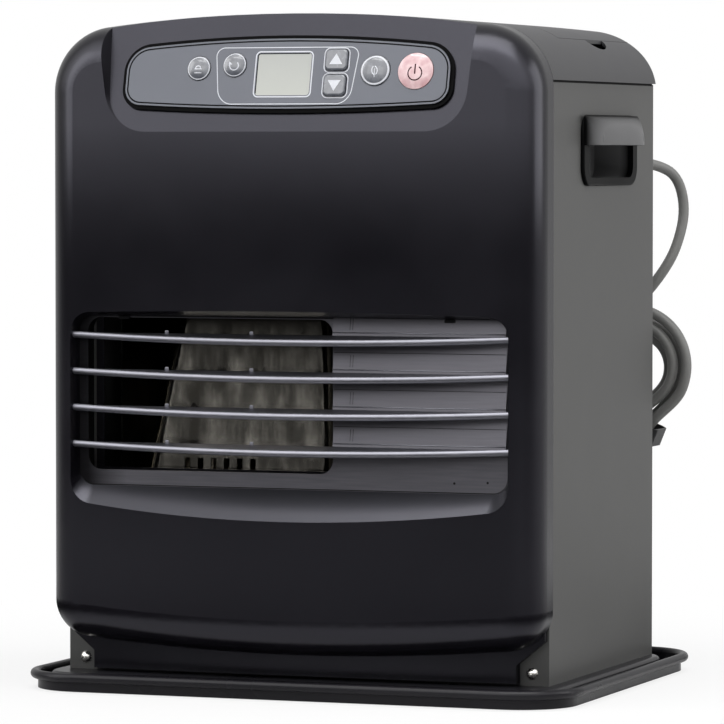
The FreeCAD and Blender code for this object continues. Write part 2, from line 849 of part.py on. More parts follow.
def make_top():
    """Top cover, tank lid with its hinge barrel, and the hinge pin."""
    wall = size("panel_wall")
    gap = size("lid_gap")
    front = size("cabinet_seam") + size("seam_gap")
    bottom = size("cabinet_top") + size("seam_gap")
    wide = panel_half() * 2
    tall = size("crown_top")
    shell = top_form(0.0, front).cut(top_form(wall, front - wall))
    shell = shell.cut(Part.makeBox(wide * 2, wide * 2, bottom, Vector(-wide, -wide, 0)))
    barrel = size("hinge_barrel")
    hinge_x = size("lid_left") + gap / 2 + barrel
    hinge_z = crown_height(hinge_x) - barrel
    lid_front = size("lid_front")
    lid_back = size("lid_back")
    ear = size("hinge_ear")
    hinge_back = size("hinge_back")

    def column(x0, x1, y0, y1):
        return Part.makeBox(x1 - x0, y1 - y0, tall, Vector(x0, y0, bottom))

    def bar(radius, y0, y1):
        return Part.makeCylinder(radius, y1 - y0, Vector(hinge_x, y0, hinge_z), Vector(0, 1, 0))

    cover = shell.cut(column(size("lid_left"), size("lid_right"), lid_front, lid_back))
    notch = Part.makeCylinder(
        size("notch_width") / 2,
        tall,
        Vector(size("lid_right"), size("notch_middle"), bottom),
    )
    reach = size("notch_reach") / (size("notch_width") / 2)
    squash = FreeCAD.Matrix()
    squash.A11 = reach
    squash.A14 = size("lid_right") * (1 - reach)
    cover = cover.cut(notch.transformGeometry(squash))
    rear_ear = hinge_back + gap
    knuckles = bar(barrel, lid_front - ear, lid_front).fuse(bar(barrel, rear_ear, rear_ear + ear))
    web_left = size("lid_left") - wall
    web = Part.makeBox(hinge_x - web_left, ear, barrel, Vector(web_left, rear_ear, hinge_z - barrel))
    bore = bar(size("hinge_pin"), lid_front - ear, hinge_back + gap + ear)
    inside = top_form(0.0, front)
    cover = cover.fuse(knuckles.fuse(web).common(inside)).cut(bore).removeSplitter()
    solid("top_cover", max(cover.Solids, key=lambda s: s.Volume))

    plate = shell.common(column(hinge_x, size("lid_right") - gap, lid_front + gap, lid_back - gap))
    tail_front = hinge_back + ear + gap * 2
    tail = shell.common(column(size("lid_left") + gap, hinge_x, tail_front, lid_back - gap))
    under = Part.makeBox(
        barrel * 2,
        lid_back - tail_front,
        hinge_z - bottom,
        Vector(hinge_x - barrel * 2, tail_front, bottom),
    )
    tail = tail.common(bar(barrel, tail_front, lid_back).fuse(under))
    lid = plate.fuse(tail).cut(
        column(hinge_x - barrel * 2, hinge_x + barrel + gap, hinge_back, tail_front)
    )
    lid = lid.fuse(bar(barrel, lid_front + gap, hinge_back)).cut(
        bar(size("hinge_pin") + size("pin_clearance"), lid_front, hinge_back + gap)
    )
    solid("tank_lid", max(lid.removeSplitter().Solids, key=lambda s: s.Volume))
    solid("lid_hinge_pin", bar(size("hinge_pin"), lid_front - ear, hinge_back + gap + ear))
    print("lid hinge axis", round(hinge_x, 3), round(hinge_z, 3))


def fascia_outline(grow):
    """Arched outline of the control fascia in the control plane, grown by a border."""
    wire = tangent_profile(
        size("fascia_half") + grow,
        size("fascia_arch") + grow,
        size("fascia_crown") + grow,
        size("fascia_shoulder") + grow,
        size("fascia_bottom") - grow,
        size("fascia_sill") + grow,
        size("fascia_heel") + grow,
    )
    wire.rotate(Vector(), Vector(1, 0, 0), -90)
    return wire


def fascia_plate(grow, low, high):
    """The fascia's outline as a plate between two levels over the scoop's floor."""
    face = Part.Face(fascia_outline(grow))
    face.translate(Vector(0, 0, low))
    return face.extrude(Vector(0, 0, high - low))


def plate_hole(u, w, width, height, corner, low, high):
    """A rounded block in the control plane, centred at u and w."""
    wire = rectangle_wire(u - width / 2, u + width / 2, w - height / 2, w + height / 2, corner, 0)
    wire.rotate(Vector(), Vector(1, 0, 0), -90)
    face = Part.Face(wire)
    face.translate(Vector(0, 0, low))
    return face.extrude(Vector(0, 0, high - low))


ROUND_BUTTONS = ("lock", "mode", "economy", "power")
ARROW_BUTTONS = ("up", "down")


def arrow_centre(which):
    """Height up the fascia of one of the two arrow buttons."""
    return size("arrow_up") if which == "up" else size("arrow_down")


def make_fascia():
    """Fascia with its button holes and board posts, the black bezel round it, the display and the board."""
    thick = size("fascia_thickness")
    fit = size("button_clearance")
    plate = fascia_plate(0.0, 0.0, thick)
    for name in ROUND_BUTTONS:
        centre = Vector(size(f"{name}_x"), size(f"{name}_up"), -thick)
        plate = plate.cut(Part.makeCylinder(size(f"{name}_radius") + fit, thick * 3, centre))
    for which in ARROW_BUTTONS:
        hole = (size("arrow_width") + fit * 2, size("arrow_height") + fit * 2, size("arrow_corner") + fit)
        plate = plate.cut(plate_hole(size("arrow_x"), arrow_centre(which), *hole, -thick, thick * 2))
    screen = (size("display_x"), size("display_up"), size("display_width"), size("display_height"))
    plate = plate.cut(plate_hole(*screen, size("display_corner"), -thick, thick * 2))
    board_top = size("board_thickness") - size("board_drop")
    for u in (size("post_left"), size("post_right")):
        for w in (size("post_low"), size("post_high")):
            plate = plate.fuse(Part.makeCylinder(size("post_radius"), -board_top, Vector(u, w, board_top)))
    solid("control_fascia", plate.removeSplitter(), control_place())

    gap = size("bezel_gap")
    ring = fascia_plate(size("bezel_width"), 0.0, size("bezel_thickness"))
    solid("fascia_bezel", ring.cut(fascia_plate(gap, -thick, thick)), control_place())

    lens = plate_hole(*screen, size("display_corner"), size("lens_back"), thick)
    solid("display_window", lens, control_place())
    border = size("module_border")
    module = plate_hole(
        screen[0],
        screen[1],
        screen[2] + border * 2,
        screen[3] + border * 2,
        size("display_corner"),
        board_top,
        0.0,
    )
    glass = plate_hole(*screen, size("display_corner"), 0.0, size("lens_back"))
    solid("display_module", module.fuse(glass).removeSplitter(), control_place())

    board = box(
        "control_board",
        ("board_left", "board_right"),
        ("board_low", "board_high"),
        ("-board_drop", "board_thickness - board_drop"),
    )
    for place in "xyz":
        board.setExpression(f"Placement.Base.{place}", None)
    corner = Vector(size("board_left"), size("board_low"), -size("board_drop"))
    board.Placement = control_place().multiply(FreeCAD.Placement(corner, FreeCAD.Rotation()))
    keep(board, "control_board")


def make_round_button(name):
    """Domed cap with a keeper rim behind the fascia and a stem down to its switch: one revolved profile."""
    radius = f"{name}_radius"
    body = new_body(f"{name}_button")
    sketch = new_sketch(body, f"{name}_profile", "XZ_Plane")
    rim = "button_rim_gap"
    back = "(button_rim_gap + button_rim)"
    stem_end = "(board_drop - board_thickness - button_travel - button_rim_gap)"
    shoulder = "(fascia_thickness + button_proud - button_dome)"
    outline = [
        ("0", f"-{stem_end}"),
        ("button_stem", f"-{stem_end}"),
        ("button_stem", f"-{back}"),
        (f"{radius} + button_flange", f"-{back}"),
        (f"{radius} + button_flange", f"-{rim}"),
        (radius, f"-{rim}"),
        (radius, shoulder),
        ("0", "fascia_thickness + button_proud"),
    ]
    points = [Vector(value(a), value(b), 0) for a, b in outline]
    count = len(points)
    for index in range(count):
        after = points[(index + 1) % count]
        if index == count - 2:
            dome = size("button_dome")
            cap = (size(radius) ** 2 + dome**2) / (2 * dome)
            lift = math.sqrt(cap**2 - (size(radius) / 2) ** 2) - cap
            middle = Vector(size(radius) / 2, after.y + lift, 0)
            sketch.addGeometry(Part.Arc(points[index], middle, after))
        else:
            sketch.addGeometry(Part.LineSegment(points[index], after))
    for index in range(count):
        ends = (index, 2, (index + 1) % count, 1)
        sketch.addConstraint(Sketcher.Constraint("Coincident", *ends))
    for index, (across, up) in enumerate(outline):
        bind(sketch, Sketcher.Constraint("DistanceX", -1, 1, index, 1, points[index].x), across)
        bind(sketch, Sketcher.Constraint("DistanceY", -1, 1, index, 1, points[index].y), up)
    turn = body.newObject("PartDesign::Revolution", f"{name}_turned")
    turn.Profile = sketch
    turn.ReferenceAxis = (sketch, ["V_Axis"])
    turn.Angle = 360
    body.Placement = control_place(size(f"{name}_x"), size(f"{name}_up"))


def make_arrow_button(which):
    """Rounded key with a keeper rim and a stem."""
    body = new_body(f"{which}_button")

    def key(name, grow, lift):
        sketch = new_sketch(body, f"{which}_{name}", lift=lift)
        half = (f"arrow_width/2 + {grow}", f"arrow_height/2 + {grow}")
        rounded_rectangle(sketch, tuple(f"-({h})" for h in half), half, f"arrow_corner + {grow}")
        return sketch

    add_pad(body, key("rim", "button_flange", "-(button_rim_gap + button_rim)"), "button_rim")
    add_pad(body, key("cap", "0", "-button_rim_gap"), "button_rim_gap + fascia_thickness + button_proud")
    top = size("fascia_thickness") + size("button_proud")
    round_edges(body, f"{which}_softened", "button_dome", lambda e: level(e, top))
    stem = new_sketch(body, f"{which}_stem", lift="-(button_rim_gap + button_rim)")
    circle = stem.addGeometry(Part.Circle(Vector(0, 0, 0), Vector(0, 0, 1), size("button_stem")))
    stem.addConstraint(Sketcher.Constraint("Coincident", -1, 1, circle, 3))
    bind(stem, Sketcher.Constraint("Radius", circle, size("button_stem")), "button_stem")
    length = "board_drop - board_thickness - button_travel - button_rim_gap*2 - button_rim"
    add_pad(body, stem, length, down=True)
    body.Placement = control_place(size("arrow_x"), arrow_centre(which))


def make_grille():
    """Four slats, each a bowed bead with a blade, and the stepped baffle with the hearth's window."""
    bow = size("bow_radius")
    edge = size("slat_edge") / 2
    thick = size("slat_thickness")
    wide = size("grille_half")
    half_round = [
        Part.Arc(Vector(0, edge, -edge), Vector(), Vector(0, edge, edge)).toShape(),
        Part.LineSegment(Vector(0, edge, edge), Vector(0, edge, -edge)).toShape(),
    ]
    angle = math.degrees(math.asin(wide / bow))
    bead = Part.Face(Part.Wire(half_round))
    bead.rotate(Vector(0, bow, 0), Vector(0, 0, 1), -angle)
    bead = bead.revolve(Vector(0, bow, 0), Vector(0, 0, 1), angle * 2)
    sunk = bow - edge / 2
    tip = bow - math.sqrt(sunk**2 - wide**2)
    rear = size("slat_depth")
    plan = [
        Part.Arc(Vector(-wide, tip, 0), Vector(0, edge / 2, 0), Vector(wide, tip, 0)).toShape(),
        Part.LineSegment(Vector(wide, tip, 0), Vector(wide, rear, 0)).toShape(),
        Part.LineSegment(Vector(wide, rear, 0), Vector(-wide, rear, 0)).toShape(),
        Part.LineSegment(Vector(-wide, rear, 0), Vector(-wide, tip, 0)).toShape(),
    ]
    plate = Part.Face(Part.Wire(plan)).extrude(Vector(0, 0, thick))
    plate.translate(Vector(0, 0, -thick / 2))
    blade = bead.fuse(plate)
    blade.rotate(Vector(), Vector(1, 0, 0), size("slat_tilt"))
    mouth = grille_funnel(-size("slat_clearance"))
    for index in range(4):
        slat = blade.copy()
        height = size("slat_first") + index * size("slat_pitch")
        slat.translate(Vector(0, size("panel_front") + size("slat_setback"), height))
        solid(f"grille_slat_{index + 1}", slat.common(mouth).Solids[0])

    rim = size("panel_wall")
    throat = size("throat_y")
    reach = size("cabinet_seam") - throat
    skin = size("baffle_sheet")
    half_wide = throat_half() + rim
    low = size("throat_low") - rim
    high = size("throat_high") + rim
    corner = size("throat_round") + rim
    pan = slab(rectangle_wire(-half_wide, half_wide, low, high, corner, 0), throat, throat + reach)
    inner = rectangle_wire(
        skin - half_wide, half_wide - skin, low + skin, high - skin, corner - skin, 0
    )
    pan = pan.cut(slab(inner, throat + skin, throat + reach + skin))
    hearth = rectangle_wire(
        size("hearth_margin") - throat_half(),
        size("hearth_right"),
        size("hearth_low"),
        size("hearth_high"),
        size("hearth_round"),
        0,
    )
    pan = pan.cut(slab(hearth, throat - skin, throat + reach))
    fold = size("fold_depth")
    start = size("hearth_right") + size("fold_margin")
    length = throat_half() - size("slat_clearance") - size("fold_margin") - start
    for index in range(4):
        foot = size("slat_first") + index * size("slat_pitch") + size("fold_lift")
        corners = [(0, 0), (-fold, 0), (0, size("fold_height"))]
        ridge = [Vector(start, throat + y, foot + z) for y, z in corners]
        wedge = Part.Face(Part.makePolygon(ridge + ridge[:1])).extrude(Vector(length, 0, 0))
        pan = pan.fuse(wedge.common(grille_funnel(-size("slat_clearance"))))
    solid("grille_baffle", pan.removeSplitter().Solids[0])


def make_grips():
    """Moulded side grips: a flange, a finger pocket sunk in the panel and a hood over its upper half."""
    face = size("cabinet_half")
    front = size("grip_front")
    back = size("grip_back")
    low = size("grip_low")
    high = size("grip_high")
    wall = size("grip_wall")
    corner = size("grip_corner")
    flange = size("grip_flange")
    border = size("grip_border")
    brow = size("grip_brow")
    deep = face - size("grip_depth")

    def plug(y0, y1, z0, z1, r, x0, x1):
        """A rounded block that runs along X."""
        wire = rectangle_wire(y0, y1, z0, z1, r, 0)
        wire.rotate(Vector(), Vector(0, 0, 1), 90)
        block = Part.Face(wire).extrude(Vector(x1 - x0, 0, 0))
        block.translate(Vector(x0, 0, 0))
        return block

    plate = plug(front - border, back + border, low - brow, high + brow, corner, face, face + flange)
    outer = [e for e in plate.Edges if e.BoundBox.XMin > face + flange / 2]
    plate = plate.makeFillet(size("grip_edge"), outer)
    sleeve = plug(front, back, low, high, corner - wall, deep, face)
    inner = corner - wall * 2
    pocket = plug(front + wall, back - wall, low + wall, high - wall, inner, deep + wall, face + flange * 2)
    reach = size("hood_reach")
    lip = size("hood_low")
    inset = size("hood_inset")

    def hood(shrink, y0, y1):
        """Quarter-round brow between the flange's top and the lip."""
        top = Vector(face, y0, high - shrink)
        tip = Vector(face + flange + reach - shrink, y0, lip)
        out = face + (flange + reach) * size("hood_bulge")
        bulge = Vector(out - shrink, y0, high - (high - lip) * size("hood_sag") - shrink)
        foot = Vector(face, y0, lip)
        edges = [
            Part.Arc(top, bulge, tip).toShape(),
            Part.LineSegment(tip, foot).toShape(),
            Part.LineSegment(foot, top).toShape(),
        ]
        return Part.Face(Part.Wire(edges)).extrude(Vector(0, y1 - y0, 0))

    brow_shell = hood(0.0, front + inset - wall, back - inset + wall)
    arches = [e for e in brow_shell.Edges if e.Curve.TypeId == "Part::GeomCircle"]
    brow_shell = brow_shell.makeFillet(size("hood_edge"), arches)
    hollow = hood(wall, front + inset, back - inset)
    grip = plate.fuse(sleeve).cut(pocket).fuse(brow_shell).cut(hollow).removeSplitter()
    grip = max(grip.Solids, key=lambda s: s.Volume)
    solid("right_grip", grip)
    solid("left_grip", grip.mirror(Vector(), Vector(1, 0, 0)))


def make_burner():
    """Deck, vaporiser, burner head with its flame ring, electrodes, tapered chamber and heat shield."""
    legs = []
    sides = {
        "left": ("deck_left", "deck_left + deck_sheet"),
        "right": ("deck_right - deck_sheet", "deck_right"),
    }
    length = ("deck_front", "deck_back")
    for name, x in sides.items():
        legs.append(box(f"deck_{name}_leg", x, length, ("plateau_height", "deck_height")))
    top = box(
        "deck_top",
        ("deck_left", "deck_right"),
        ("deck_front", "deck_back"),
        ("deck_height", "deck_height + deck_sheet"),
    )
    hole_base = ("burner_x", "burner_y", "deck_height - deck_sheet")
    hole = cylinder("deck_hole", "pipe_radius", "deck_sheet*3", hole_base)
    keep(cut("burner_deck", fuse("deck_folded", top, *legs), hole), "burner_deck")
    base = "deck_height + deck_sheet"
    keep(
        cylinder("vaporiser", "vaporiser_radius", "vaporiser_height", ("burner_x", "burner_y", base)),
        "vaporiser",
    )
    head_base = f"{base} + vaporiser_height"
    cup = cylinder("burner_cup", "burner_radius", "burner_height", ("burner_x", "burner_y", head_base))
    well = cylinder(
        "burner_well",
        "ring_radius - ring_wire*2",
        "burner_height",
        ("burner_x", "burner_y", f"{head_base} + burner_height/2"),
    )
    keep(cut("burner_head", cup, well), "burner_head")
    ring = doc.addObject("Part::Torus", "flame_ring")
    ring.setExpression("Radius1", formula("ring_radius"))
    ring.setExpression("Radius2", formula("ring_wire"))
    for place, text in zip("xyz", ("burner_x", "burner_y", f"{head_base} + burner_height + ring_wire")):
        ring.setExpression(f"Placement.Base.{place}", formula(text))
    keep(ring, "flame_ring")
    for name, sign in (("igniter", "-"), ("flame_sensor", "+")):
        spot = f"burner_x {sign} (burner_radius + rod_radius*3)"
        rod = cylinder(f"{name}_rod", "rod_radius", "rod_length", (spot, "burner_y", base))
        bush = cylinder(f"{name}_bush", "rod_radius*2", "rod_length/2", (spot, "burner_y", base))
        keep(fuse(name, rod, bush), name)
    make_chamber()
    sheet_text = "shield_sheet"
    outside = box(
        "shield_block",
        ("deck_left", "deck_right"),
        ("deck_front", "deck_back"),
        (base, "shield_height"),
    )
    inside = box(
        "shield_hollow",
        (f"deck_left + {sheet_text}", f"deck_right - {sheet_text}"),
        (f"deck_front - {sheet_text}", f"deck_back - {sheet_text}"),
        (f"{base} - {sheet_text}", f"shield_height - {sheet_text}"),
    )
    keep(cut("heat_shield", outside, inside), "heat_shield")


def make_chamber():
    """Combustion chamber of folded stainless sheet, tapering upwards, with an air-slot row and a flue."""
    wall = size("chamber_wall")
    lean = size("chamber_lean")

    def taper(shrink, low, high):
        """The chamber's block: drawn in towards the top, more on its left than on its right."""
        wires = []
        for z, share in ((low, 0.0), (high, 1.0)):
            rect = rectangle_wire(
                size("chamber_left") + share * size("chamber_draw") + shrink,
                size("chamber_right") - share * size("chamber_draw_right") - shrink,
                size("chamber_front") + share * lean + shrink,
                size("chamber_back") - share * lean - shrink,
                size("chamber_round") - shrink,
                0,
            )
            rect.rotate(Vector(), Vector(1, 0, 0), -90)
            rect.translate(Vector(0, 0, z))
            wires.append(rect)
        return Part.makeLoft(wires, True, True)

    low = size("chamber_base")
    high = size("chamber_top")
    shell = taper(0.0, low, high).cut(taper(wall, low - wall, high - wall))
    flue_base = Vector(size("burner_x"), size("burner_y"), high - wall * 3)
    flue = Part.makeCylinder(size("flue_radius"), wall * 6, flue_base)
    shell = shell.cut(flue)
    width = size("chamber_slot_width")
    for step in (-2.5, -1.5, -0.5, 0.5, 1.5, 2.5):
        x = size("chamber_slot_x") + step * size("chamber_slot_pitch") - width / 2
        foot = size("hearth_low") - size("chamber_slot_drop")
        slot = Part.makeBox(
            width, lean * 2, size("chamber_slot_height"), Vector(x, size("chamber_front") - wall, foot)
        )
        shell = shell.cut(slot)
    shell = max(shell.Solids, key=lambda s: s.Volume)
    flange = Part.makeBox(
        size("deck_right") - size("deck_left") - size("shield_sheet") * 2,
        size("chamber_back") - size("chamber_front") + lean * 2,
        wall,
        Vector(size("deck_left") + size("shield_sheet"), size("chamber_front") - lean, low - wall),
    )
    middle = Vector(size("burner_x"), size("burner_y"), low - wall * 2)
    flange = flange.cut(Part.makeCylinder(size("burner_radius") + size("ring_wire"), wall * 4, middle))
    solid("combustion_chamber", shell.fuse(flange).removeSplitter())


def fan_plane():
    """Depth of the face of the rear panel that the fan parts seat against."""
    return size("cabinet_back") - size("sheet") * 2


def along_y(radius, y0, y1, x=None, z=None):
    """A round bar along Y, on the fan's axis unless a place is given."""
    centre = Vector(size("fan_x") if x is None else x, y0, size("fan_z") if z is None else z)
    return Part.makeCylinder(radius, y1 - y0, centre, Vector(0, 1, 0))


def tube_y(outer, inner, y0, y1):
    """A ring along Y on the fan's axis."""
    return along_y(outer, y0, y1).cut(along_y(inner, y0 - 1, y1 + 1))


def make_fan():
    """Shroud with its motor collar, motor, shaft, rotor with lofted blades, outer guard and dust net."""
    back = fan_plane()
    axis_x = size("fan_x")
    axis_z = size("fan_z")
    bore = size("fan_radius") + size("shroud_gap")
    wall = size("shroud_wall")
    front = back - size("shroud_depth")
    collar = size("motor_radius") + size("motor_fit")
    collar_front = front - size("motor_collar")
    shroud = tube_y(bore + wall, bore, front, back)
    rim = tube_y(bore + wall, bore - wall, front - wall, front)
    sleeve = tube_y(collar + wall, collar, collar_front, front)
    shroud = shroud.fuse(rim).fuse(sleeve)
    for turn in (90, 210, 330):
        arm = Part.makeBox(
            bore - collar,
            wall * 2,
            size("arm_width"),
            Vector(axis_x + collar + wall / 2, front - wall * 2, axis_z - size("arm_width") / 2),
        )
        arm.rotate(Vector(axis_x, 0, axis_z), Vector(0, 1, 0), turn)
        shroud = shroud.fuse(arm)
    solid("fan_shroud", shroud.removeSplitter().Solids[0])

    motor_front = front - size("motor_length")
    shaft = size("shaft_radius")
    can = along_y(size("motor_radius"), motor_front, front - wall)
    nose = along_y(size("motor_radius") / 2, front - wall, front)
    seat = along_y(shaft + size("shaft_clearance"), motor_front + wall * 2, front + 1)
    solid("fan_motor", can.fuse(nose).cut(seat).removeSplitter())
    hub_back = back - size("fan_setback")
    hub_front = hub_back - size("hub_length")
    solid("motor_shaft", along_y(shaft, motor_front + wall * 2, hub_back - wall))
    make_rotor(hub_front, hub_back, shaft)
    make_guard(back + size("sheet"))


def make_rotor(hub_front, hub_back, shaft):
    """Fan rotor: a hub and seven twisted blades, each a loft from a root chord to a tip chord."""
    axis = Vector(size("fan_x"), 0, size("fan_z"))
    hub = along_y(size("hub_radius"), hub_front, hub_back)
    middle = (hub_front + hub_back) / 2
    rise = size("blade_rise") / 2
    thick = size("blade_thickness") / 2

    def chord(radius, length, lift):
        """Slanted blade section across a radius that points along X."""
        half = length / 2
        lower = [(-half, -lift - thick), (half, lift - thick)]
        corners = lower + [(half, lift + thick), (-half, -lift + thick)]
        points = [axis + Vector(radius, middle + y, z) for z, y in corners]
        return Part.makePolygon(points + points[:1])

    root = chord(size("hub_radius") * size("blade_seat"), size("blade_root"), rise)
    tip = chord(size("fan_radius"), size("blade_tip"), rise * size("blade_washout"))
    blade = Part.makeLoft([root, tip], True, True)
    blade = blade.common(along_y(size("fan_radius") - size("blade_thickness"), hub_front, hub_back))
    rotor = hub
    for index in range(7):
        copy = blade.copy()
        copy.rotate(axis, Vector(0, 1, 0), index * 360 / 7)
        rotor = rotor.fuse(copy)
    bore = along_y(shaft, hub_front - 1, hub_back - size("shroud_wall"))
    solid("fan_rotor", rotor.cut(bore).removeSplitter().Solids[0])


def make_guard(seat):
    """Rear guard of concentric bars on spokes, and the dust net clipped behind it."""
    outer = size("guard_radius")
    bar = size("guard_bar")
    deep = size("guard_depth")
    guard = tube_y(outer, outer - bar * 3, seat, seat + deep)
    for index in range(1, 6):
        radius = (outer - bar * 3) * index / 6
        guard = guard.fuse(tube_y(radius + bar / 2, radius - bar / 2, seat + deep / 2, seat + deep))
    centre = Vector(size("fan_x"), 0, size("fan_z"))
    for index in range(6):
        spoke = Part.makeBox(
            (outer - bar) * 2,
            deep / 2,
            bar,
            Vector(centre.x - outer + bar, seat + deep / 2, centre.z - bar / 2),
        )
        spoke.rotate(centre, Vector(0, 1, 0), index * 30)
        guard = guard.fuse(spoke)
    solid("fan_guard", guard.removeSplitter().Solids[0])

    thin = size("filter_depth")
    edge = outer - bar * 3 - size("motor_fit")
    net = tube_y(edge, edge - bar, seat, seat + thin)
    count = int(edge / size("filter_pitch"))
    for index in range(-count, count + 1):
        offset = index * size("filter_pitch")
        half = math.sqrt(edge**2 - offset**2) - bar / 2
        aside = offset - bar / 4
        flat_corner = Vector(centre.x - half, seat, centre.z + aside)
        flat = Part.makeBox(half * 2, thin, bar / 2, flat_corner)
        upright_corner = Vector(centre.x + aside, seat, centre.z - half)
        upright = Part.makeBox(bar / 2, thin, half * 2, upright_corner)
        net = net.fuse(flat).fuse(upright)
    solid("dust_filter", net.removeSplitter().Solids[0])


def make_fuel():
    """Lift-out tank with cap and bail, sump with strainer, metering pump and fuel pipe."""
    tank = doc.addObject("PartDesign::Body", "tank_block")
    footprint = new_sketch(tank, "tank_footprint", lift="tank_low")
    rounded_rectangle(footprint, ("tank_left", "tank_front"), ("tank_right", "tank_back"), "tank_round")
    add_pad(tank, footprint, "tank_high - tank_low")
    ends = (size("tank_low"), size("tank_high"))
    round_edges(tank, "tank_softened", "tank_round/2", lambda e: level(e, ends[0]) or level(e, ends[1]))
    void = hollow_box("tank_void", "tank_low", "tank_high", "tank_round")
    keep(cut("fuel_tank", tank, void), "fuel_tank")

    middle = ("(tank_left + tank_right)/2", "(tank_front + tank_back)/2")
    cap_low = "tank_low - tank_cap_height"
    cap = cylinder("cap_skirt", "tank_cap_radius", "tank_cap_height", (*middle, cap_low))
    keep(cap, "tank_cap")

    sump_top = "plateau_height + sump_height"
    sump = doc.addObject("PartDesign::Body", "sump_block")
    outline = new_sketch(sump, "sump_outline", lift="plateau_height")
    rounded_rectangle(outline, ("tank_left", "tank_front"), ("tank_right", "tank_back"), "sump_round")
    add_pad(sump, outline, "sump_height")
    well = new_sketch(sump, "sump_well", lift=sump_top)
    circle = well.addGeometry(Part.Circle(Vector(0, 0, 0), Vector(0, 0, 1), 10))
    bind(well, Sketcher.Constraint("DistanceX", -1, 1, circle, 3, 1.0), middle[0])
    bind(well, Sketcher.Constraint("DistanceY", -1, 1, circle, 3, 1.0), middle[1])
    strainer_radius = "tank_cap_radius + cap_clearance + strainer_wall"
    bind(well, Sketcher.Constraint("Radius", circle, 10.0), strainer_radius)
    add_pocket(sump, well, "tank_cap_height + strainer_height")
    sleeve = cylinder(
        "sump_sleeve",
        f"{strainer_radius} + tank_wall",
        "sump_height",
        (*middle, "plateau_height"),
    )
    void = hollow_box("sump_void", "plateau_height", sump_top, "sump_round")
    keep(cut("sump_tank", sump, cut("sump_space", void, sleeve)), "sump_tank")

    basket_low = f"{sump_top} - tank_cap_height - strainer_height"
    basket_length = "tank_cap_height + strainer_height"
    basket = cylinder("basket_outside", strainer_radius, basket_length, (*middle, basket_low))
    hollow = cylinder(
        "basket_inside",
        "tank_cap_radius + cap_clearance",
        "tank_cap_height + strainer_height",
        (*middle, f"{basket_low} + strainer_wall"),
    )
    keep(cut("fuel_strainer", basket, hollow), "fuel_strainer")
    make_bail(value(middle[0]), value(middle[1]))

    body = cylinder("pump_can", "pump_radius", "pump_height", ("pump_x", "pump_y", "plateau_height"))
    spout = cylinder(
        "pump_spout",
        "pipe_radius*2",
        "pump_radius + pipe_radius",
        ("pump_x", "pump_y - pump_radius - pipe_radius", "pipe_level"),
        "y",
    )
    keep(fuse("fuel_pump", body, spout), "fuel_pump")
    make_pipe()


def hollow_box(name, low, high, corner):
    """The space inside a tank of the fuel bay, one wall in from its outside all round."""
    return box(
        name,
        (f"tank_left + tank_wall + {corner}/4", f"tank_right - tank_wall - {corner}/4"),
        (f"tank_front + tank_wall + {corner}/4", f"tank_back - tank_wall - {corner}/4"),
        (f"{low} + tank_wall", f"{high} - tank_wall"),
    )


def make_bail(x, y):
    """Carrying bail of bent wire, folded up from two ears on top of the tank."""
    top = size("tank_high")
    half = size("bail_span") / 2
    rise = size("bail_rise")
    bend = size("bail_radius") * 3
    wire = Part.Wire(
        [
            Part.LineSegment(Vector(x, y - half, top), Vector(x, y - half, top + rise - bend)).toShape(),
            Part.Arc(
                Vector(x, y - half, top + rise - bend),
                Vector(x, y - half + bend * (1 - math.sqrt(0.5)), top + rise - bend * (1 - math.sqrt(0.5))),
                Vector(x, y - half + bend, top + rise),
            ).toShape(),
            Part.LineSegment(
                Vector(x, y - half + bend, top + rise), Vector(x, y + half - bend, top + rise)
            ).toShape(),
            Part.Arc(
                Vector(x, y + half - bend, top + rise),
                Vector(x, y + half - bend * (1 - math.sqrt(0.5)), top + rise - bend * (1 - math.sqrt(0.5))),
                Vector(x, y + half, top + rise - bend),
            ).toShape(),
            Part.LineSegment(Vector(x, y + half, top + rise - bend), Vector(x, y + half, top)).toShape(),
        ]
    )
    solid("tank_bail", pipe_along(wire, size("bail_radius")))


def pipe_along(wire, radius):
    """A round tube of one radius along a wire."""
    first = wire.OrderedEdges[0]
    start = first.valueAt(first.FirstParameter)
    heading = first.tangentAt(first.FirstParameter)
    ring = Part.Wire([Part.Circle(start, heading, radius).toShape()])
    return Part.Solid(wire.makePipeShell([ring], True, False).Shells[0])


def make_pipe():
    """Fuel pipe from the pump's spout under the deck and up into the vaporiser."""
    x = size("pump_x")
    start = size("pump_y") - size("pump_radius") - size("pipe_radius")
    level_z = size("pipe_level")
    bend = size("pipe_bend")
    end_y = size("burner_y")
    k = 1 - math.sqrt(0.5)
    wire = Part.Wire(
        [
            Part.LineSegment(Vector(x, start, level_z), Vector(x, end_y + bend, level_z)).toShape(),
            Part.Arc(
                Vector(x, end_y + bend, level_z),
                Vector(x, end_y + bend * k, level_z + bend * k),
                Vector(x, end_y, level_z + bend),
            ).toShape(),
            Part.LineSegment(
                Vector(x, end_y, level_z + bend),
                Vector(x, end_y, size("deck_height") + size("deck_sheet")),
            ).toShape(),
        ]
    )
    solid("fuel_pipe", pipe_along(wire, size("pipe_radius")))


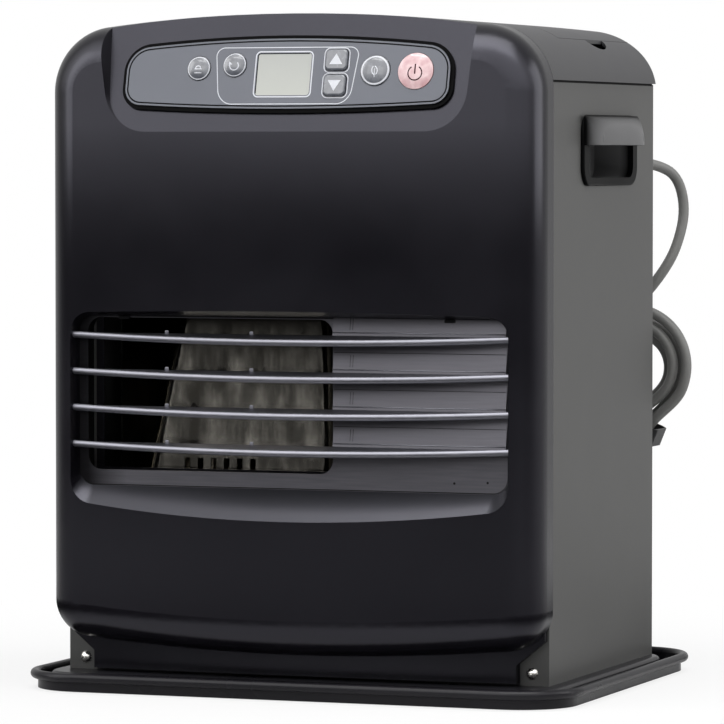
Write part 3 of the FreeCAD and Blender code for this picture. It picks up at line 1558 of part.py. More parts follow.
def make_electrics():
    """Main board on its stand-offs, transformer, tilt switch and room sensor."""
    inner = "-(cabinet_half - sheet)"
    board = box(
        "main_board_plate",
        (f"{inner} + main_board_stand", f"{inner} + main_board_stand + board_thickness"),
        ("main_board_front", "main_board_back"),
        ("main_board_low", "main_board_high"),
    )
    stands = []
    columns = {"front": "main_board_front + post_radius*3", "back": "main_board_back - post_radius*3"}
    rows = {"low": "main_board_low + post_radius*3", "high": "main_board_high - post_radius*3"}
    for row, z in rows.items():
        for column, y in columns.items():
            name = f"stand_{row}_{column}"
            stands.append(cylinder(name, "post_radius", "main_board_stand", (inner, y, z), "x"))
    keep(fuse("main_board", board, *stands), "main_board")
    core = box(
        "transformer_core",
        ("transformer_x - transformer_width/2", "transformer_x + transformer_width/2"),
        ("transformer_y - transformer_depth/2", "transformer_y + transformer_depth/2"),
        ("plateau_height", "plateau_height + transformer_height"),
    )
    winding = box(
        "transformer_winding",
        ("transformer_x - transformer_width/4", "transformer_x + transformer_width/4"),
        ("transformer_y - winding_depth/2", "transformer_y + winding_depth/2"),
        ("plateau_height + winding_lift", "plateau_height + transformer_height - winding_lift"),
    )
    keep(fuse("transformer", core, winding), "transformer")
    keep(
        box(
            "tilt_switch",
            ("tilt_x - tilt_width/2", "tilt_x + tilt_width/2"),
            ("tilt_y - tilt_width/2", "tilt_y + tilt_width/2"),
            ("plateau_height", "plateau_height + tilt_height"),
        ),
        "tilt_switch",
    )
    clip = box(
        "sensor_clip",
        ("sensor_x - sensor_width/2", "sensor_x + sensor_width/2"),
        ("cabinet_back - sheet", "cabinet_back - sheet + sensor_depth"),
        ("sensor_z - sensor_height/2", "sensor_z + sensor_height/2"),
    )
    bulb = cylinder(
        "sensor_bulb",
        "sensor_width/5",
        "sensor_height/2",
        ("sensor_x", "cabinet_back - sheet + sensor_depth", "sensor_z - sensor_height/4"),
    )
    keep(fuse("room_sensor", clip, bulb), "room_sensor")


def pan_screw(place, heading):
    """A pan-head screw whose head seats at a place and whose shank runs along a heading."""
    head = size("screw_head")
    rise = size("screw_rise")
    ball = (head**2 + rise**2) / (2 * rise)
    above = Part.makeBox(head * 2, head * 2, rise, Vector(-head, -head, -rise))
    cap = Part.makeSphere(ball, Vector(0, 0, ball - rise)).common(above)
    screw = cap.fuse(Part.makeCylinder(size("screw_shank"), size("screw_length")))
    screw.Placement = FreeCAD.Placement(place, FreeCAD.Rotation(Vector(0, 0, 1), heading))
    return screw


def front_screw_places():
    """Seats of the two screws in the side panels' front folds."""
    x = size("cabinet_half") - size("front_screw_inset")
    return [Vector(side * x, size("cabinet_seam"), size("front_screw_z")) for side in (-1, 1)]


def case_screw_places():
    """Seats of the six screws that hold the rear folds to the rear panel."""
    x = size("cabinet_half") - size("rear_fold") / 2
    middle = (size("plateau_height") + size("cabinet_top")) / 2
    rows = [middle + row * size("case_screw_pitch") for row in (-1, 0, 1)]
    return [Vector(side * x, size("cabinet_back"), z) for side in (-1, 1) for z in rows]


def make_screws():
    """Two groups of identical screws, each one node of separate solids."""
    groups = (
        ("front_screws", front_screw_places(), Vector(0, 1, 0)),
        ("case_screws", case_screw_places(), Vector(0, -1, 0)),
    )
    for label, places, heading in groups:
        solid(label, Part.makeCompound([pan_screw(place, heading) for place in places]))


# The lead's free stretch, from the gland's mouth to the head of the hank.
CORD_ROUTE = [
    (139.0, 120.5, 335.0),
    (139.0, 142.5, 335.0),
    (147.3, 163.2, 329.5),
    (159.3, 176.4, 313.4),
    (166.5, 178.8, 290.6),
    (164.9, 172.2, 268.4),
    (153.2, 161.4, 251.5),
]
CORD_LAST_RUN = 16.0
BEND_SHARE = 0.45


def hank_point(a, b, layer):
    """A point of the hank: a along its length, b across it, and a layer towards the cabinet."""
    tilt = math.radians(size("hank_tilt"))
    return Vector(
        size("hank_x") + a * math.sin(tilt) + b * math.cos(tilt),
        size("hank_y") - layer * size("hank_layer"),
        size("hank_z") + a * math.cos(tilt) - b * math.sin(tilt),
    )


def hank_heading(a, b):
    """A direction in the hank's plane."""
    return hank_point(a, b, 0) - hank_point(0, 0, 0)


TURNS_IN_LAYER = 2


def hank_stations():
    """Points and headings of the hank, eight to a turn: inwards in one layer, then out in the next."""
    half = size("hank_half")
    outer = size("hank_fold") + TURNS_IN_LAYER * size("hank_step")
    slant = math.sqrt(0.5)
    entry = hank_point(half + outer * slant, -outer * slant, 0)
    stations = [(entry, hank_heading(-slant, -slant))]
    last = TURNS_IN_LAYER * 16
    for index in range(last + 2):
        turn = index / 8
        spread = min(abs(TURNS_IN_LAYER - turn), TURNS_IN_LAYER)
        fold = size("hank_fold") + spread * size("hank_step")
        waist = size("hank_waist") + spread * size("hank_waist_step")
        layer = min(max((turn - TURNS_IN_LAYER) * 8, 0), 1)
        layer += min(max((turn - TURNS_IN_LAYER * 2) * 8, 0), 1)
        place, heading = (
            ((half, -fold), (-1, 0)),
            ((0, -waist), (-1, 0)),
            ((-half, -fold), (-1, 0)),
            ((-half - fold, 0), (0, 1)),
            ((-half, fold), (1, 0)),
            ((0, waist), (1, 0)),
            ((half, fold), (1, 0)),
            ((half + fold, 0), (0, -1)),
        )[index % 8]
        stations.append((hank_point(*place, layer), hank_heading(*heading)))
    return stations


def arc_from(start, heading, end):
    """The arc, or the line, that leaves start along heading and ends at end."""
    chord = end - start
    aside = heading - chord * (heading.dot(chord) / chord.dot(chord))
    if aside.Length < 1e-6:
        return Part.LineSegment(start, end)
    angle = heading.getAngle(chord)
    bulge = aside.normalize() * (chord.Length / 2 * math.tan(angle / 2))
    return Part.Arc(start, start + chord / 2 + bulge, end)


def biarc(start, leave, end, arrive):
    """Two tangent arcs between two points with given headings."""
    span = end - start
    both = leave + arrive
    openness = 2 * (1 - leave.dot(arrive))
    if openness < 1e-9:
        reach = span.dot(span) / (4 * span.dot(arrive))
    else:
        reach = (math.sqrt(span.dot(both) ** 2 + openness * span.dot(span)) - span.dot(both)) / openness
    middle = (start + leave * reach + end - arrive * reach) / 2
    first = arc_from(start, leave, middle)
    second = arc_from(end, arrive * -1, middle)
    return [first.toShape(), second.toShape()]


def make_cord():
    """Gland, free stretch, hank with its tie, and the plug at the tail."""
    radius = size("cord_radius")
    back = size("cabinet_back") - size("sheet")
    length = size("gland_length")
    gland_profile = [
        (0, -length / 2),
        (size("gland_radius"), -length / 2),
        (size("gland_radius"), 0),
        (size("gland_flange"), 0),
        (size("gland_flange"), length / 4),
        (size("gland_radius"), length / 4),
        (size("gland_taper"), length + size("sheet")),
        (0, length + size("sheet")),
    ]
    loop = [Vector(size("cord_x") + r, back + y, size("cord_z")) for r, y in gland_profile]
    axis = Vector(size("cord_x"), back, size("cord_z"))
    gland = Part.Face(Part.makePolygon(loop + loop[:1])).revolve(axis, Vector(0, 1, 0), 360)
    solid("cord_gland", gland)

    stations = hank_stations()
    start, down = stations[0]
    route = [Vector(*p) for p in CORD_ROUTE]
    route[0] = Vector(size("cord_x"), back + length + size("sheet"), size("cord_z"))
    route += [start - down * CORD_LAST_RUN, start]
    drop, radii, run_length = rounded_route(route)
    solid("cord_drop", pipe_along(drop, radius))
    print("drop radii", [round(r, 1) for r in radii], "length", round(run_length, 1))
    section = math.pi * radius**2
    print("drop volume ratio", round(nodes[-1].Shape.Volume / (section * run_length), 4))

    edges = []
    for (p, leave), (q, arrive) in zip(stations, stations[1:]):
        edges += biarc(p, leave, q, arrive)
    end, heading = stations[-1]
    tail = end + heading * size("hank_tail")
    edges.append(Part.LineSegment(end, tail).toShape())
    path = Part.Wire(edges)
    hank = pipe_along(path, radius)
    solid("cord_hank", hank)
    print("hank length", round(path.Length, 1))
    print("hank volume ratio", round(hank.Volume / (section * path.Length), 4))
    print("hank least gap to itself", round(self_gap(path, radius), 2))
    make_tie()
    make_plug(tail, heading)


def make_tie():
    """Tie band drawn round the waist of the hank."""
    fit = size("cord_radius") + size("tie_fit")
    wall = size("tie_wall")
    reach = size("hank_waist") + TURNS_IN_LAYER * size("hank_waist_step") + fit
    depth = size("hank_layer") * 2
    half = size("tie_height") / 2

    def band(grow):
        wire = rectangle_wire(-reach - grow, reach + grow, -depth - fit - grow, fit + grow, fit + grow, 0)
        wire.rotate(Vector(), Vector(1, 0, 0), -90)
        face = Part.Face(wire)
        face.translate(Vector(0, 0, -half))
        return face.extrude(Vector(0, 0, half * 2))

    place = FreeCAD.Placement(hank_point(0, 0, 0), FreeCAD.Rotation(Vector(0, 1, 0), size("hank_tilt")))
    solid("cord_tie", band(wall).cut(band(0.0)), place)


def make_plug(seat, heading):
    """Moulded plug: a tapered neck, a rounded body and two pins, turned about the tail of the lead."""
    neck = size("plug_neck")
    neck_length = size("plug_neck_length")
    radius = size("plug_radius")
    end = neck_length + size("plug_length")
    base = size("plug_neck_base")
    soft = size("plug_soft")
    sag = soft * (1 - math.sqrt(0.5))
    corners = [
        Vector(radius, 0, neck_length + soft),
        Vector(radius, 0, end),
        Vector(0, 0, end),
        Vector(0, 0, 0),
        Vector(neck, 0, 0),
        Vector(base, 0, neck_length),
        Vector(radius - soft, 0, neck_length),
    ]
    on_shoulder = Vector(radius - sag, 0, neck_length + sag)
    shoulder = Part.Arc(corners[-1], on_shoulder, corners[0]).toShape()
    outline = Part.Wire(Part.makePolygon(corners).Edges + [shoulder])
    plug = Part.Face(outline).revolve(Vector(), Vector(0, 0, 1), 360)
    for side in (-1, 1):
        root = Vector(side * size("pin_spacing") / 2, 0, end)
        plug = plug.fuse(Part.makeCylinder(size("pin_radius"), size("pin_length"), root))
    plug.Placement = FreeCAD.Placement(seat, FreeCAD.Rotation(Vector(0, 0, 1), heading))
    solid("plug", plug.removeSplitter())


def rounded_route(points):
    """Straight runs joined by tangent arcs, each arc as large as its two runs allow."""
    edges = []
    radii = []
    last = points[0]
    for before, corner, after in zip(points, points[1:], points[2:]):
        a = before - corner
        b = after - corner
        reach = BEND_SHARE * min(a.Length, b.Length)
        a.normalize()
        b.normalize()
        turn = math.pi - a.getAngle(b)
        radius = reach / math.tan(turn / 2)
        inside = (a + b).normalize() * (radius / math.cos(turn / 2) - radius)
        enter = corner + a * reach
        leave = corner + b * reach
        edges.append(Part.LineSegment(last, enter).toShape())
        edges.append(Part.Arc(enter, corner + inside, leave).toShape())
        radii.append(radius)
        last = leave
    edges.append(Part.LineSegment(last, points[-1]).toShape())
    wire = Part.Wire(edges)
    return wire, radii, wire.Length


def self_gap(path, radius):
    """Least clear distance between stretches of a tube that lie a few diameters apart along it."""
    step = radius / 2
    points = path.discretize(Distance=step)
    apart = int(radius * 8 / step)
    least = min(
        points[i].distanceToPoint(points[j])
        for i in range(0, len(points), 2)
        for j in range(i + apart, len(points), 2)
    )
    return least - radius * 2


make_tray()
make_cabinet()
make_front_panel()
make_top()
make_fascia()
for button in ROUND_BUTTONS:
    make_round_button(button)
for button in ARROW_BUTTONS:
    make_arrow_button(button)
make_grille()
make_grips()
make_burner()
make_fan()
make_fuel()
make_electrics()
make_screws()
make_cord()
doc.recompute()

for item in doc.Objects:
    if {"Invalid", "Error"} & set(item.State):
        raise RuntimeError(f"{item.Label} failed: {item.State}")
for node in nodes:
    if node.Shape.isNull() or not node.Shape.isValid() or not node.Shape.Solids:
        raise RuntimeError(f"{node.Label} has no sound solid")

os.makedirs("parts", exist_ok=True)
for node in nodes:
    node.Shape.exportStep(os.path.join("parts", f"{node.Label}.step"))
print(len(nodes), "sub-parts written")
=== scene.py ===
# %% [markdown]
# A paraffin heater, dressed for the camera
#
# The engineering model gives every rigid piece of this heater its true shape. This notebook loads that
# model, puts a camera where the photographer stood, lights it like a plain studio shot, and then gives each
# piece the finish it has in life: satin paint, grained moulding, brushed sheet, printed film. A few things
# that are too fine for the engineering model, such as the print on the control fascia and the lead's lay,
# are made here.

# %% Load the model
import bpy
import math
import numpy as np
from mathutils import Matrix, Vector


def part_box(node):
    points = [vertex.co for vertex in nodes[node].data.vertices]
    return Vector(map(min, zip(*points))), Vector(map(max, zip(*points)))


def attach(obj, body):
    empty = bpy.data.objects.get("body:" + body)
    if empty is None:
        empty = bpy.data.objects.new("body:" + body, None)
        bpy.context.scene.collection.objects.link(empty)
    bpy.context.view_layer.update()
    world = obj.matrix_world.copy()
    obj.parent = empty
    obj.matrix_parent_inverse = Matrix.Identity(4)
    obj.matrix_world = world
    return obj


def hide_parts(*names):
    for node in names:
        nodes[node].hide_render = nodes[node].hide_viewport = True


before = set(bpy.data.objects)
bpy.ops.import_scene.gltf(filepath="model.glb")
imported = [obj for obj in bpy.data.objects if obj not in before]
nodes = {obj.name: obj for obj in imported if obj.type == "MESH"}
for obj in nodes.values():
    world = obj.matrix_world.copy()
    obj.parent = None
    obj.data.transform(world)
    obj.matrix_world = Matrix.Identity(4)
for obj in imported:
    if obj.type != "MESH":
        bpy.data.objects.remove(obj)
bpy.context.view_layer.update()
MM = 0.001

# %% [markdown]
# Camera
#
# The heater was photographed with a long lens from about three metres, a little above its lid and twenty
# degrees to its right. A long lens keeps the uprights nearly parallel. The camera could be aimed by a
# constraint, but plain angles are easier to reason about: one turn about the vertical, and one small tilt
# down.

# %% Camera
PICTURE = 724.0
VIEW_TURN = math.radians(20.46)
VIEW_AIM = math.radians(0.03)
VIEW_DISTANCE = 3.224
EYE_HEIGHT = 0.3424
FOCAL_PIXELS = 4961.3
HORIZON_ABOVE_MIDDLE = 209.9

camera = bpy.data.objects.new("camera", bpy.data.cameras.new("camera"))
bpy.context.scene.collection.objects.link(camera)
camera.location = (
    VIEW_DISTANCE * math.sin(VIEW_TURN),
    -VIEW_DISTANCE * math.cos(VIEW_TURN),
    EYE_HEIGHT,
)
tilt_down = math.atan(HORIZON_ABOVE_MIDDLE / FOCAL_PIXELS)
camera.rotation_euler = (math.pi / 2 - tilt_down, 0, VIEW_TURN + VIEW_AIM)
camera.data.sensor_width = 36.0
camera.data.lens = 36.0 * FOCAL_PIXELS / PICTURE
bpy.context.scene.camera = camera
bpy.context.scene.view_settings.view_transform = "Standard"
print("lens", round(camera.data.lens, 1), "mm, tilt", round(math.degrees(tilt_down), 2))

# %% [markdown]
# Helpers for materials
#
# Colours are written as the hex values that one would pick from a paint chart. Blender's shaders work in
# linear light, so one function turns them. A second small function adds a node, sets its values and makes
# its links, which keeps each material down to a few lines that read from the pattern to the surface. The
# rest are the few steps that nearly every material takes: grading a value, joining two, and mixing in a
# colour.


# %% Helpers for materials
def paint(code):
    """Linear colour of an sRGB hex code: the usual curve with its straight foot below 0.04."""
    srgb = np.array([int(code[i : i + 2], 16) for i in (1, 3, 5)]) / 255
    linear = np.where(srgb <= 0.04045, srgb / 12.92, ((srgb + 0.055) / 1.055) ** 2.4)
    return (*linear.tolist(), 1.0)


def feed(tree, node, values):
    """Sets a node's inputs by name or number; an output among the values becomes a link."""
    for name, given in values.items():
        if isinstance(given, bpy.types.NodeSocket):
            tree.links.new(given, node.inputs[name])
        else:
            node.inputs[name].default_value = given


def add(tree, kind, values=None, **settings):
    """Adds a node, sets its own settings, and feeds its inputs."""
    node = tree.nodes.new(kind)
    for name, setting in settings.items():
        setattr(node, name, setting)
    feed(tree, node, values or {})
    return node


def new_material(name):
    """A material with an empty tree, its surface shader joined to the output."""
    material = bpy.data.materials.new(name)
    material.use_nodes = True
    tree = material.node_tree
    tree.nodes.clear()
    shader = add(tree, "ShaderNodeBsdfPrincipled")
    add(tree, "ShaderNodeOutputMaterial", {"Surface": shader.outputs[0]})
    return material, tree, shader


def wear(material, *names):
    """Gives a material to nodes of the engineering model."""
    for name in names:
        mesh = nodes[name].data
        mesh.materials.clear()
        mesh.materials.append(material)


print("view", bpy.context.scene.view_settings.view_transform)

# %% Helpers for materials: values and patterns
SMOOTH = {"interpolation_type": "SMOOTHSTEP"}


def grade(tree, value, start, end, low=0.0, high=1.0, **settings):
    """Maps one range of a value onto another, and holds it at both ends."""
    values = {"Value": value, "From Min": start, "From Max": end, "To Min": low, "To Max": high}
    return add(tree, "ShaderNodeMapRange", values, **settings).outputs[0]


def join(tree, operation, first, second):
    """Joins two values by a named operation."""
    return add(tree, "ShaderNodeMath", {0: first, 1: second}, operation=operation).outputs[0]


def blend(tree, share, first, second):
    """Mixes two surfaces, the second by a share."""
    return add(tree, "ShaderNodeMixShader", {0: share, 1: first, 2: second}).outputs[0]


def ramp(tree, factor, low, high, dark, light):
    """Maps a pattern between two levels onto two colours."""
    node = add(tree, "ShaderNodeValToRGB", {"Fac": factor})
    node.color_ramp.elements[0].position = low
    node.color_ramp.elements[0].color = paint(dark)
    node.color_ramp.elements[1].position = high
    node.color_ramp.elements[1].color = paint(light)
    return node.outputs["Color"]


def place_on(tree, axis):
    """How far a point lies along one axis of the frame, in metres."""
    place = add(tree, "ShaderNodeTexCoord").outputs["Object"]
    return add(tree, "ShaderNodeSeparateXYZ", {0: place}).outputs[axis]


def cover(tree, shader, code, share):
    """Mixes a plain colour over the shader's own base colour, by a share."""
    tone = shader.inputs["Base Color"].links[0].from_socket
    mixed = add(tree, "ShaderNodeMix", {6: tone, 7: paint(code), 0: share}, data_type="RGBA")
    feed(tree, shader, {"Base Color": mixed.outputs[2]})


def pattern(tree, size, detail=2.0, stretch=None):
    """Noise whose features have a size in millimetres, drawn out along axes if asked."""
    place = add(tree, "ShaderNodeTexCoord").outputs["Object"]
    if stretch:
        place = add(tree, "ShaderNodeMapping", {"Vector": place, "Scale": stretch}).outputs[0]
    values = {"Vector": place, "Scale": 1 / (size * MM), "Detail": detail}
    return add(tree, "ShaderNodeTexNoise", values).outputs["Fac"]


def between(tree, factor, low, high):
    """Maps the middle of a pattern onto a range of plain values."""
    return grade(tree, factor, 0.3, 0.7, low, high)


print("patterns are sized in millimetres,", MM, "m each")

# %% [markdown]
# Studio
#
# The photograph has a white sweep, a broad light overhead and white walls to the right and behind. The side
# is seen at a glancing angle, so it mirrors the white wall and looks grey. The front mirrors the dim room
# behind the photographer and stays almost black, but its crown, its scoop and its slats mirror a bright
# ceiling there. The world does the same: white where the camera looks past the heater, bright behind and
# overhead in reflections, dim in front, and a ceiling in front that only reflections see.

# %% Studio
WALL_BEHIND = 0.6
WALL_IN_FRONT = 0.04
CEILING_IN_FRONT = 2.4
FILL_LEVEL = 0.34

world = bpy.data.worlds.new("studio")
bpy.context.scene.world = world
world.use_nodes = True
sky = world.node_tree
sky.nodes.clear()


def wall(strength):
    """A white background of some strength."""
    return add(sky, "ShaderNodeBackground", {"Color": (1, 1, 1, 1), "Strength": strength}).outputs[0]


toward = add(sky, "ShaderNodeTexCoord").outputs["Generated"]
axes = add(sky, "ShaderNodeSeparateXYZ", {0: toward}).outputs
behind = grade(sky, axes["Y"], -0.5, 0.55, **SMOOTH)
overhead = grade(sky, axes["Z"], 0.25, 0.9, **SMOOTH)
room = grade(sky, join(sky, "MAXIMUM", behind, overhead), 0.0, 1.0, WALL_IN_FRONT, WALL_BEHIND)
high = grade(sky, axes["Z"], 0.03, 0.40, 0.0, CEILING_IN_FRONT, **SMOOTH)
ahead = grade(sky, axes["Y"], 0.15, -0.35)
mirrored = join(sky, "ADD", room, join(sky, "MULTIPLY", high, ahead))
rays = add(sky, "ShaderNodeLightPath").outputs
shiny = join(sky, "MAXIMUM", rays["Is Glossy Ray"], rays["Is Transmission Ray"])
lit = blend(sky, shiny, wall(FILL_LEVEL), wall(mirrored))
shown = blend(sky, rays["Is Camera Ray"], lit, wall(1.0))
add(sky, "ShaderNodeOutputWorld", {"Surface": shown})
print("walls", WALL_BEHIND, "behind,", WALL_IN_FRONT, "in front")


# %% Studio: the lamps
def soft_box(name, place, aim, width, height, watts):
    """A rectangular lamp that faces a point."""
    lamp = bpy.data.lights.new(name, "AREA")
    lamp.shape = "RECTANGLE"
    lamp.size = width
    lamp.size_y = height
    lamp.energy = watts
    box = bpy.data.objects.new(name, lamp)
    bpy.context.scene.collection.objects.link(box)
    box.location = place
    away = np.array(aim) - np.array(place)
    box.rotation_euler = (
        math.acos(-away[2] / np.linalg.norm(away)),
        0,
        math.atan2(away[1], away[0]) - math.pi / 2,
    )
    return box


soft_box("overhead_box", (0.2, -0.5, 2.0), (0.0, 0.0, 0.3), 1.6, 1.2, 26.0)
soft_box("right_box", (1.9, 0.5, 1.1), (0.15, 0.0, 0.25), 1.2, 1.4, 16.0)
soft_box("left_box", (-1.7, -1.2, 1.2), (0.0, 0.0, 0.2), 0.7, 1.3, 7.0)
soft_box("front_box", (-0.9, -2.6, 1.75), (0.0, -0.15, 0.35), 1.8, 0.8, 6.0)
soft_box("strip_box", (-0.6, -1.9, 2.45), (0.0, -0.15, 0.35), 1.4, 0.10, 3.0)

# %% [markdown]
# Helpers for shapes
#
# Every shape made here is a grid of points that a formula gives, joined by four-sided faces. A grid can
# close on itself in either direction, which is how a tube or a ring comes without a seam. A made piece then
# rides on one of the bodies of the engineering model.


# %% Helpers for shapes
def grid_mesh(name, points, close_u=False, close_v=False, smooth=True):
    """Joins a grid of points, rows by columns, with four-sided faces; a closed direction wraps round."""
    rows, columns = points.shape[:2]
    u = np.arange(rows if close_u else rows - 1)
    v = np.arange(columns if close_v else columns - 1)
    i, j = np.meshgrid(u, v, indexing="ij")
    after_i = (i + 1) % rows
    after_j = (j + 1) % columns
    corners = [(i, j), (after_i, j), (after_i, after_j), (i, after_j)]
    faces = np.stack([row * columns + column for row, column in corners], axis=-1).reshape(-1, 4)
    mesh = bpy.data.meshes.new(name)
    mesh.from_pydata(points.reshape(-1, 3).tolist(), [], faces.tolist())
    mesh.polygons.foreach_set("use_smooth", np.full(len(mesh.polygons), smooth))
    mesh.update()
    return mesh


def piece(name, data, body="housing", *materials):
    """An object for a mesh or a curve, riding on a body if one is named."""
    made = bpy.data.objects.new(name, data)
    bpy.context.scene.collection.objects.link(made)
    for material in materials:
        made.data.materials.append(material)
    if body:
        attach(made, body)
    return made


def laid(name, grid, material, slot, **joins):
    """A piece made of one grid, which rides with the housing and has the given material; its slot is not
    used.
    """
    made = piece(name, grid_mesh(name, grid, **joins), "housing", material)
    return made


print("shapes start from", len(bpy.data.meshes), "engineering meshes")

# %% [markdown]
# Floor
#
# The sweep is plain white paper. Round the tray it is real matt paper, which takes the soft contact shadow.
# Further out it is lifted to full white for the camera alone, so that floor and wall run together without a
# horizon. A photographer lays black card on a pale floor to keep a dark front deep, so reflections alone
# see a dark ring of it, which starts beyond the tray.

# %% Floor
FLOOR_HALF = 1.3
FLOOR_LEVEL = -0.0005
PAPER_LIFT = 0.8
LIFT_FROM, LIFT_TO = 0.22, 0.60
CARD_NEAR, CARD_FAR, CARD_EDGE = 0.24, 0.72, 0.10

sweep_white, tree, shader = new_material("matt white paper sweep")
feed(tree, shader, {"Base Color": paint("#f4f4f4"), "Roughness": 0.9})
lift = add(tree, "ShaderNodeEmission", {"Color": (1, 1, 1, 1), "Strength": 1.0}).outputs[0]
card = add(tree, "ShaderNodeBsdfDiffuse", {"Color": paint("#0c0c0d")}).outputs[0]
place = add(tree, "ShaderNodeTexCoord").outputs["Object"]
distance = add(tree, "ShaderNodeVectorMath", {0: place}, operation="LENGTH").outputs["Value"]
rays = add(tree, "ShaderNodeLightPath").outputs
away = grade(tree, distance, LIFT_FROM, LIFT_TO, PAPER_LIFT, 1.0, **SMOOTH)
lifted = join(tree, "MULTIPLY", rays["Is Camera Ray"], away)
begun = grade(tree, distance, CARD_NEAR, CARD_NEAR + CARD_EDGE, **SMOOTH)
unended = grade(tree, distance, CARD_FAR, CARD_FAR - CARD_EDGE)
ring = join(tree, "MULTIPLY", begun, unended)
flagged = join(tree, "MULTIPLY", rays["Is Glossy Ray"], ring)
surface = blend(tree, flagged, blend(tree, lifted, shader.outputs[0], lift), card)
tree.links.new(surface, tree.nodes["Material Output"].inputs["Surface"])

edge = np.array([-FLOOR_HALF, FLOOR_HALF])
across, along = np.meshgrid(edge, edge, indexing="ij")
sheet = np.stack([across, along, np.full_like(across, FLOOR_LEVEL)], axis=-1)
floor = piece("floor", grid_mesh("floor", sheet, smooth=False), None, sweep_white)
print("floor", FLOOR_HALF * 2, "m square")

# %% [markdown]
# Mains lead
#
# The lead leaves the back of the cabinet near its right edge, droops, and is folded into a tied hank that
# hangs behind the corner, with the plug at its tail. A lead is one length of something flexible, so it is
# drawn as one smooth spline. The free stretch has a few given points. The hank is a formula: runs
# that draw in at the waist, half circles at the folds, wound inwards in one layer and outwards in the next.

# %% Mains lead: the free stretch
CORD_DIAMETER = 7.0
FREE_STRETCH = np.array([
    (139.0, 120.5, 335.0),
    (139.0, 142.5, 335.0),
    (147.6, 161.0, 334.4),
    (159.7, 172.0, 327.0),
    (164.7, 175.0, 304.2),
    (161.2, 168.0, 280.1),
    (154.6, 160.0, 263.5),
    (139.6, 154.5, 243.2),
])
print("free stretch", len(FREE_STRETCH), "points")

# %% Mains lead: the hank
HANK_MIDDLE = np.array((123.0, 154.5, 165.0))
HANK_TILT = math.radians(22.0)
RUN_HALF = 37.0
FOLD_RADIUS = 21.0
FOLD_STEP = 9.6
WAIST_HALF = 5.0
WAIST_STEP = 12.0
LAYER_STEP = 8.8
TURNS_IN_LAYER = 2
TAIL_LENGTH = 84.0
POINTS_IN_TURN = 32


def hank_line(turn):
    """Centreline of the hank at a number of turns.

    Each turn is eight eighths: two halves of a run, a quarter fold, a quarter fold, and the same back. On a
    run the half width goes from the fold's to the waist's along a cosine. On a fold the point goes round a
    circle.
    """
    spread = np.minimum(np.abs(TURNS_IN_LAYER - turn), TURNS_IN_LAYER)
    fold = FOLD_RADIUS + spread * FOLD_STEP
    waist = WAIST_HALF + spread * WAIST_STEP
    layer = np.clip((turn - TURNS_IN_LAYER) * 8, 0, 1) + np.clip((turn - TURNS_IN_LAYER * 2) * 8, 0, 1)
    eighth = turn % 1 * 8
    along = np.select(
        [eighth < 2, eighth < 4, eighth < 6],
        [
            RUN_HALF * (1 - eighth),
            -RUN_HALF - fold * np.sin((eighth - 2) * math.pi / 2),
            RUN_HALF * (eighth - 5),
        ],
        RUN_HALF + fold * np.sin((eighth - 6) * math.pi / 2),
    )
    on_run = waist + (fold - waist) * (1 - np.cos(math.pi * along / RUN_HALF)) / 2
    aside = np.select(
        [eighth < 2, eighth < 4, eighth < 6],
        [-on_run, -fold * np.cos((eighth - 2) * math.pi / 2), on_run],
        fold * np.cos((eighth - 6) * math.pi / 2),
    )
    right = HANK_MIDDLE[0] + along * math.sin(HANK_TILT) + aside * math.cos(HANK_TILT)
    back = HANK_MIDDLE[1] - layer * LAYER_STEP
    up = HANK_MIDDLE[2] + along * math.cos(HANK_TILT) - aside * math.sin(HANK_TILT)
    return np.stack([right, back, up], axis=-1)


turns = np.arange(0, TURNS_IN_LAYER * 2 * POINTS_IN_TURN + POINTS_IN_TURN / 8 + 1) / POINTS_IN_TURN
hank = hank_line(turns)
down_hank = np.array((-math.sin(HANK_TILT), 0, -math.cos(HANK_TILT)))
entry = hank_line(np.array([-0.0625]))
tail = hank[-1] + down_hank * np.array([[0.35], [0.7], [1.0]]) * TAIL_LENGTH
route = np.concatenate([FREE_STRETCH, entry, hank, tail]) * MM
print("route", len(route), "points, tail ends at", route[-1].round(4))

# %% Mains lead: the spline
line = bpy.data.curves.new("mains_lead", "CURVE")
line.dimensions = "3D"
spline = line.splines.new("NURBS")
spline.points.add(len(route) - 1)
spline.points.foreach_set("co", np.column_stack([route, np.ones(len(route))]).ravel())
spline.order_u = 3
spline.use_endpoint_u = True
line.resolution_u = 6
spline.points.foreach_set("radius", np.full(len(route), CORD_DIAMETER / 2 * MM))
line.bevel_depth = 1.0
line.bevel_resolution = 5
lead = piece("mains_lead", line)
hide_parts("cord_drop", "cord_hank")

# %% [markdown]
# Moulded and painted surfaces
#
# The whole cabinet is charcoal, yet its pieces don't shine alike. The front and the top are injection
# moulded, with a fine spark-eroded grain in the tool. The sides are sheet steel with a powder coat, which
# dries with a slight orange peel. The tray is sheet with a glossier stoved enamel. One recipe serves them
# all: a cloudy change of tone and shine over a few centimetres, and a fine grain as a bump, each at its
# size in millimetres.

# %% Moulded and painted surfaces
CLOUD = 60.0


def satin(name, dark, light, shine, grain, depth, specular=0.5, tint="#ffffff"):
    """A moulded or painted finish: two tones and a range of roughness in clouds, and a fine grain."""
    material, tree, shader = new_material(name)
    cloud = pattern(tree, CLOUD)
    bump = add(tree, "ShaderNodeBump", {"Height": pattern(tree, grain, detail=1.0), "Distance": depth * MM})
    feed(tree, shader, {
        "Base Color": ramp(tree, cloud, 0.3, 0.7, dark, light),
        "Roughness": between(tree, cloud, *shine),
        "Specular IOR Level": specular,
        "Specular Tint": paint(tint),
        "Normal": bump.outputs[0],
    })
    return material


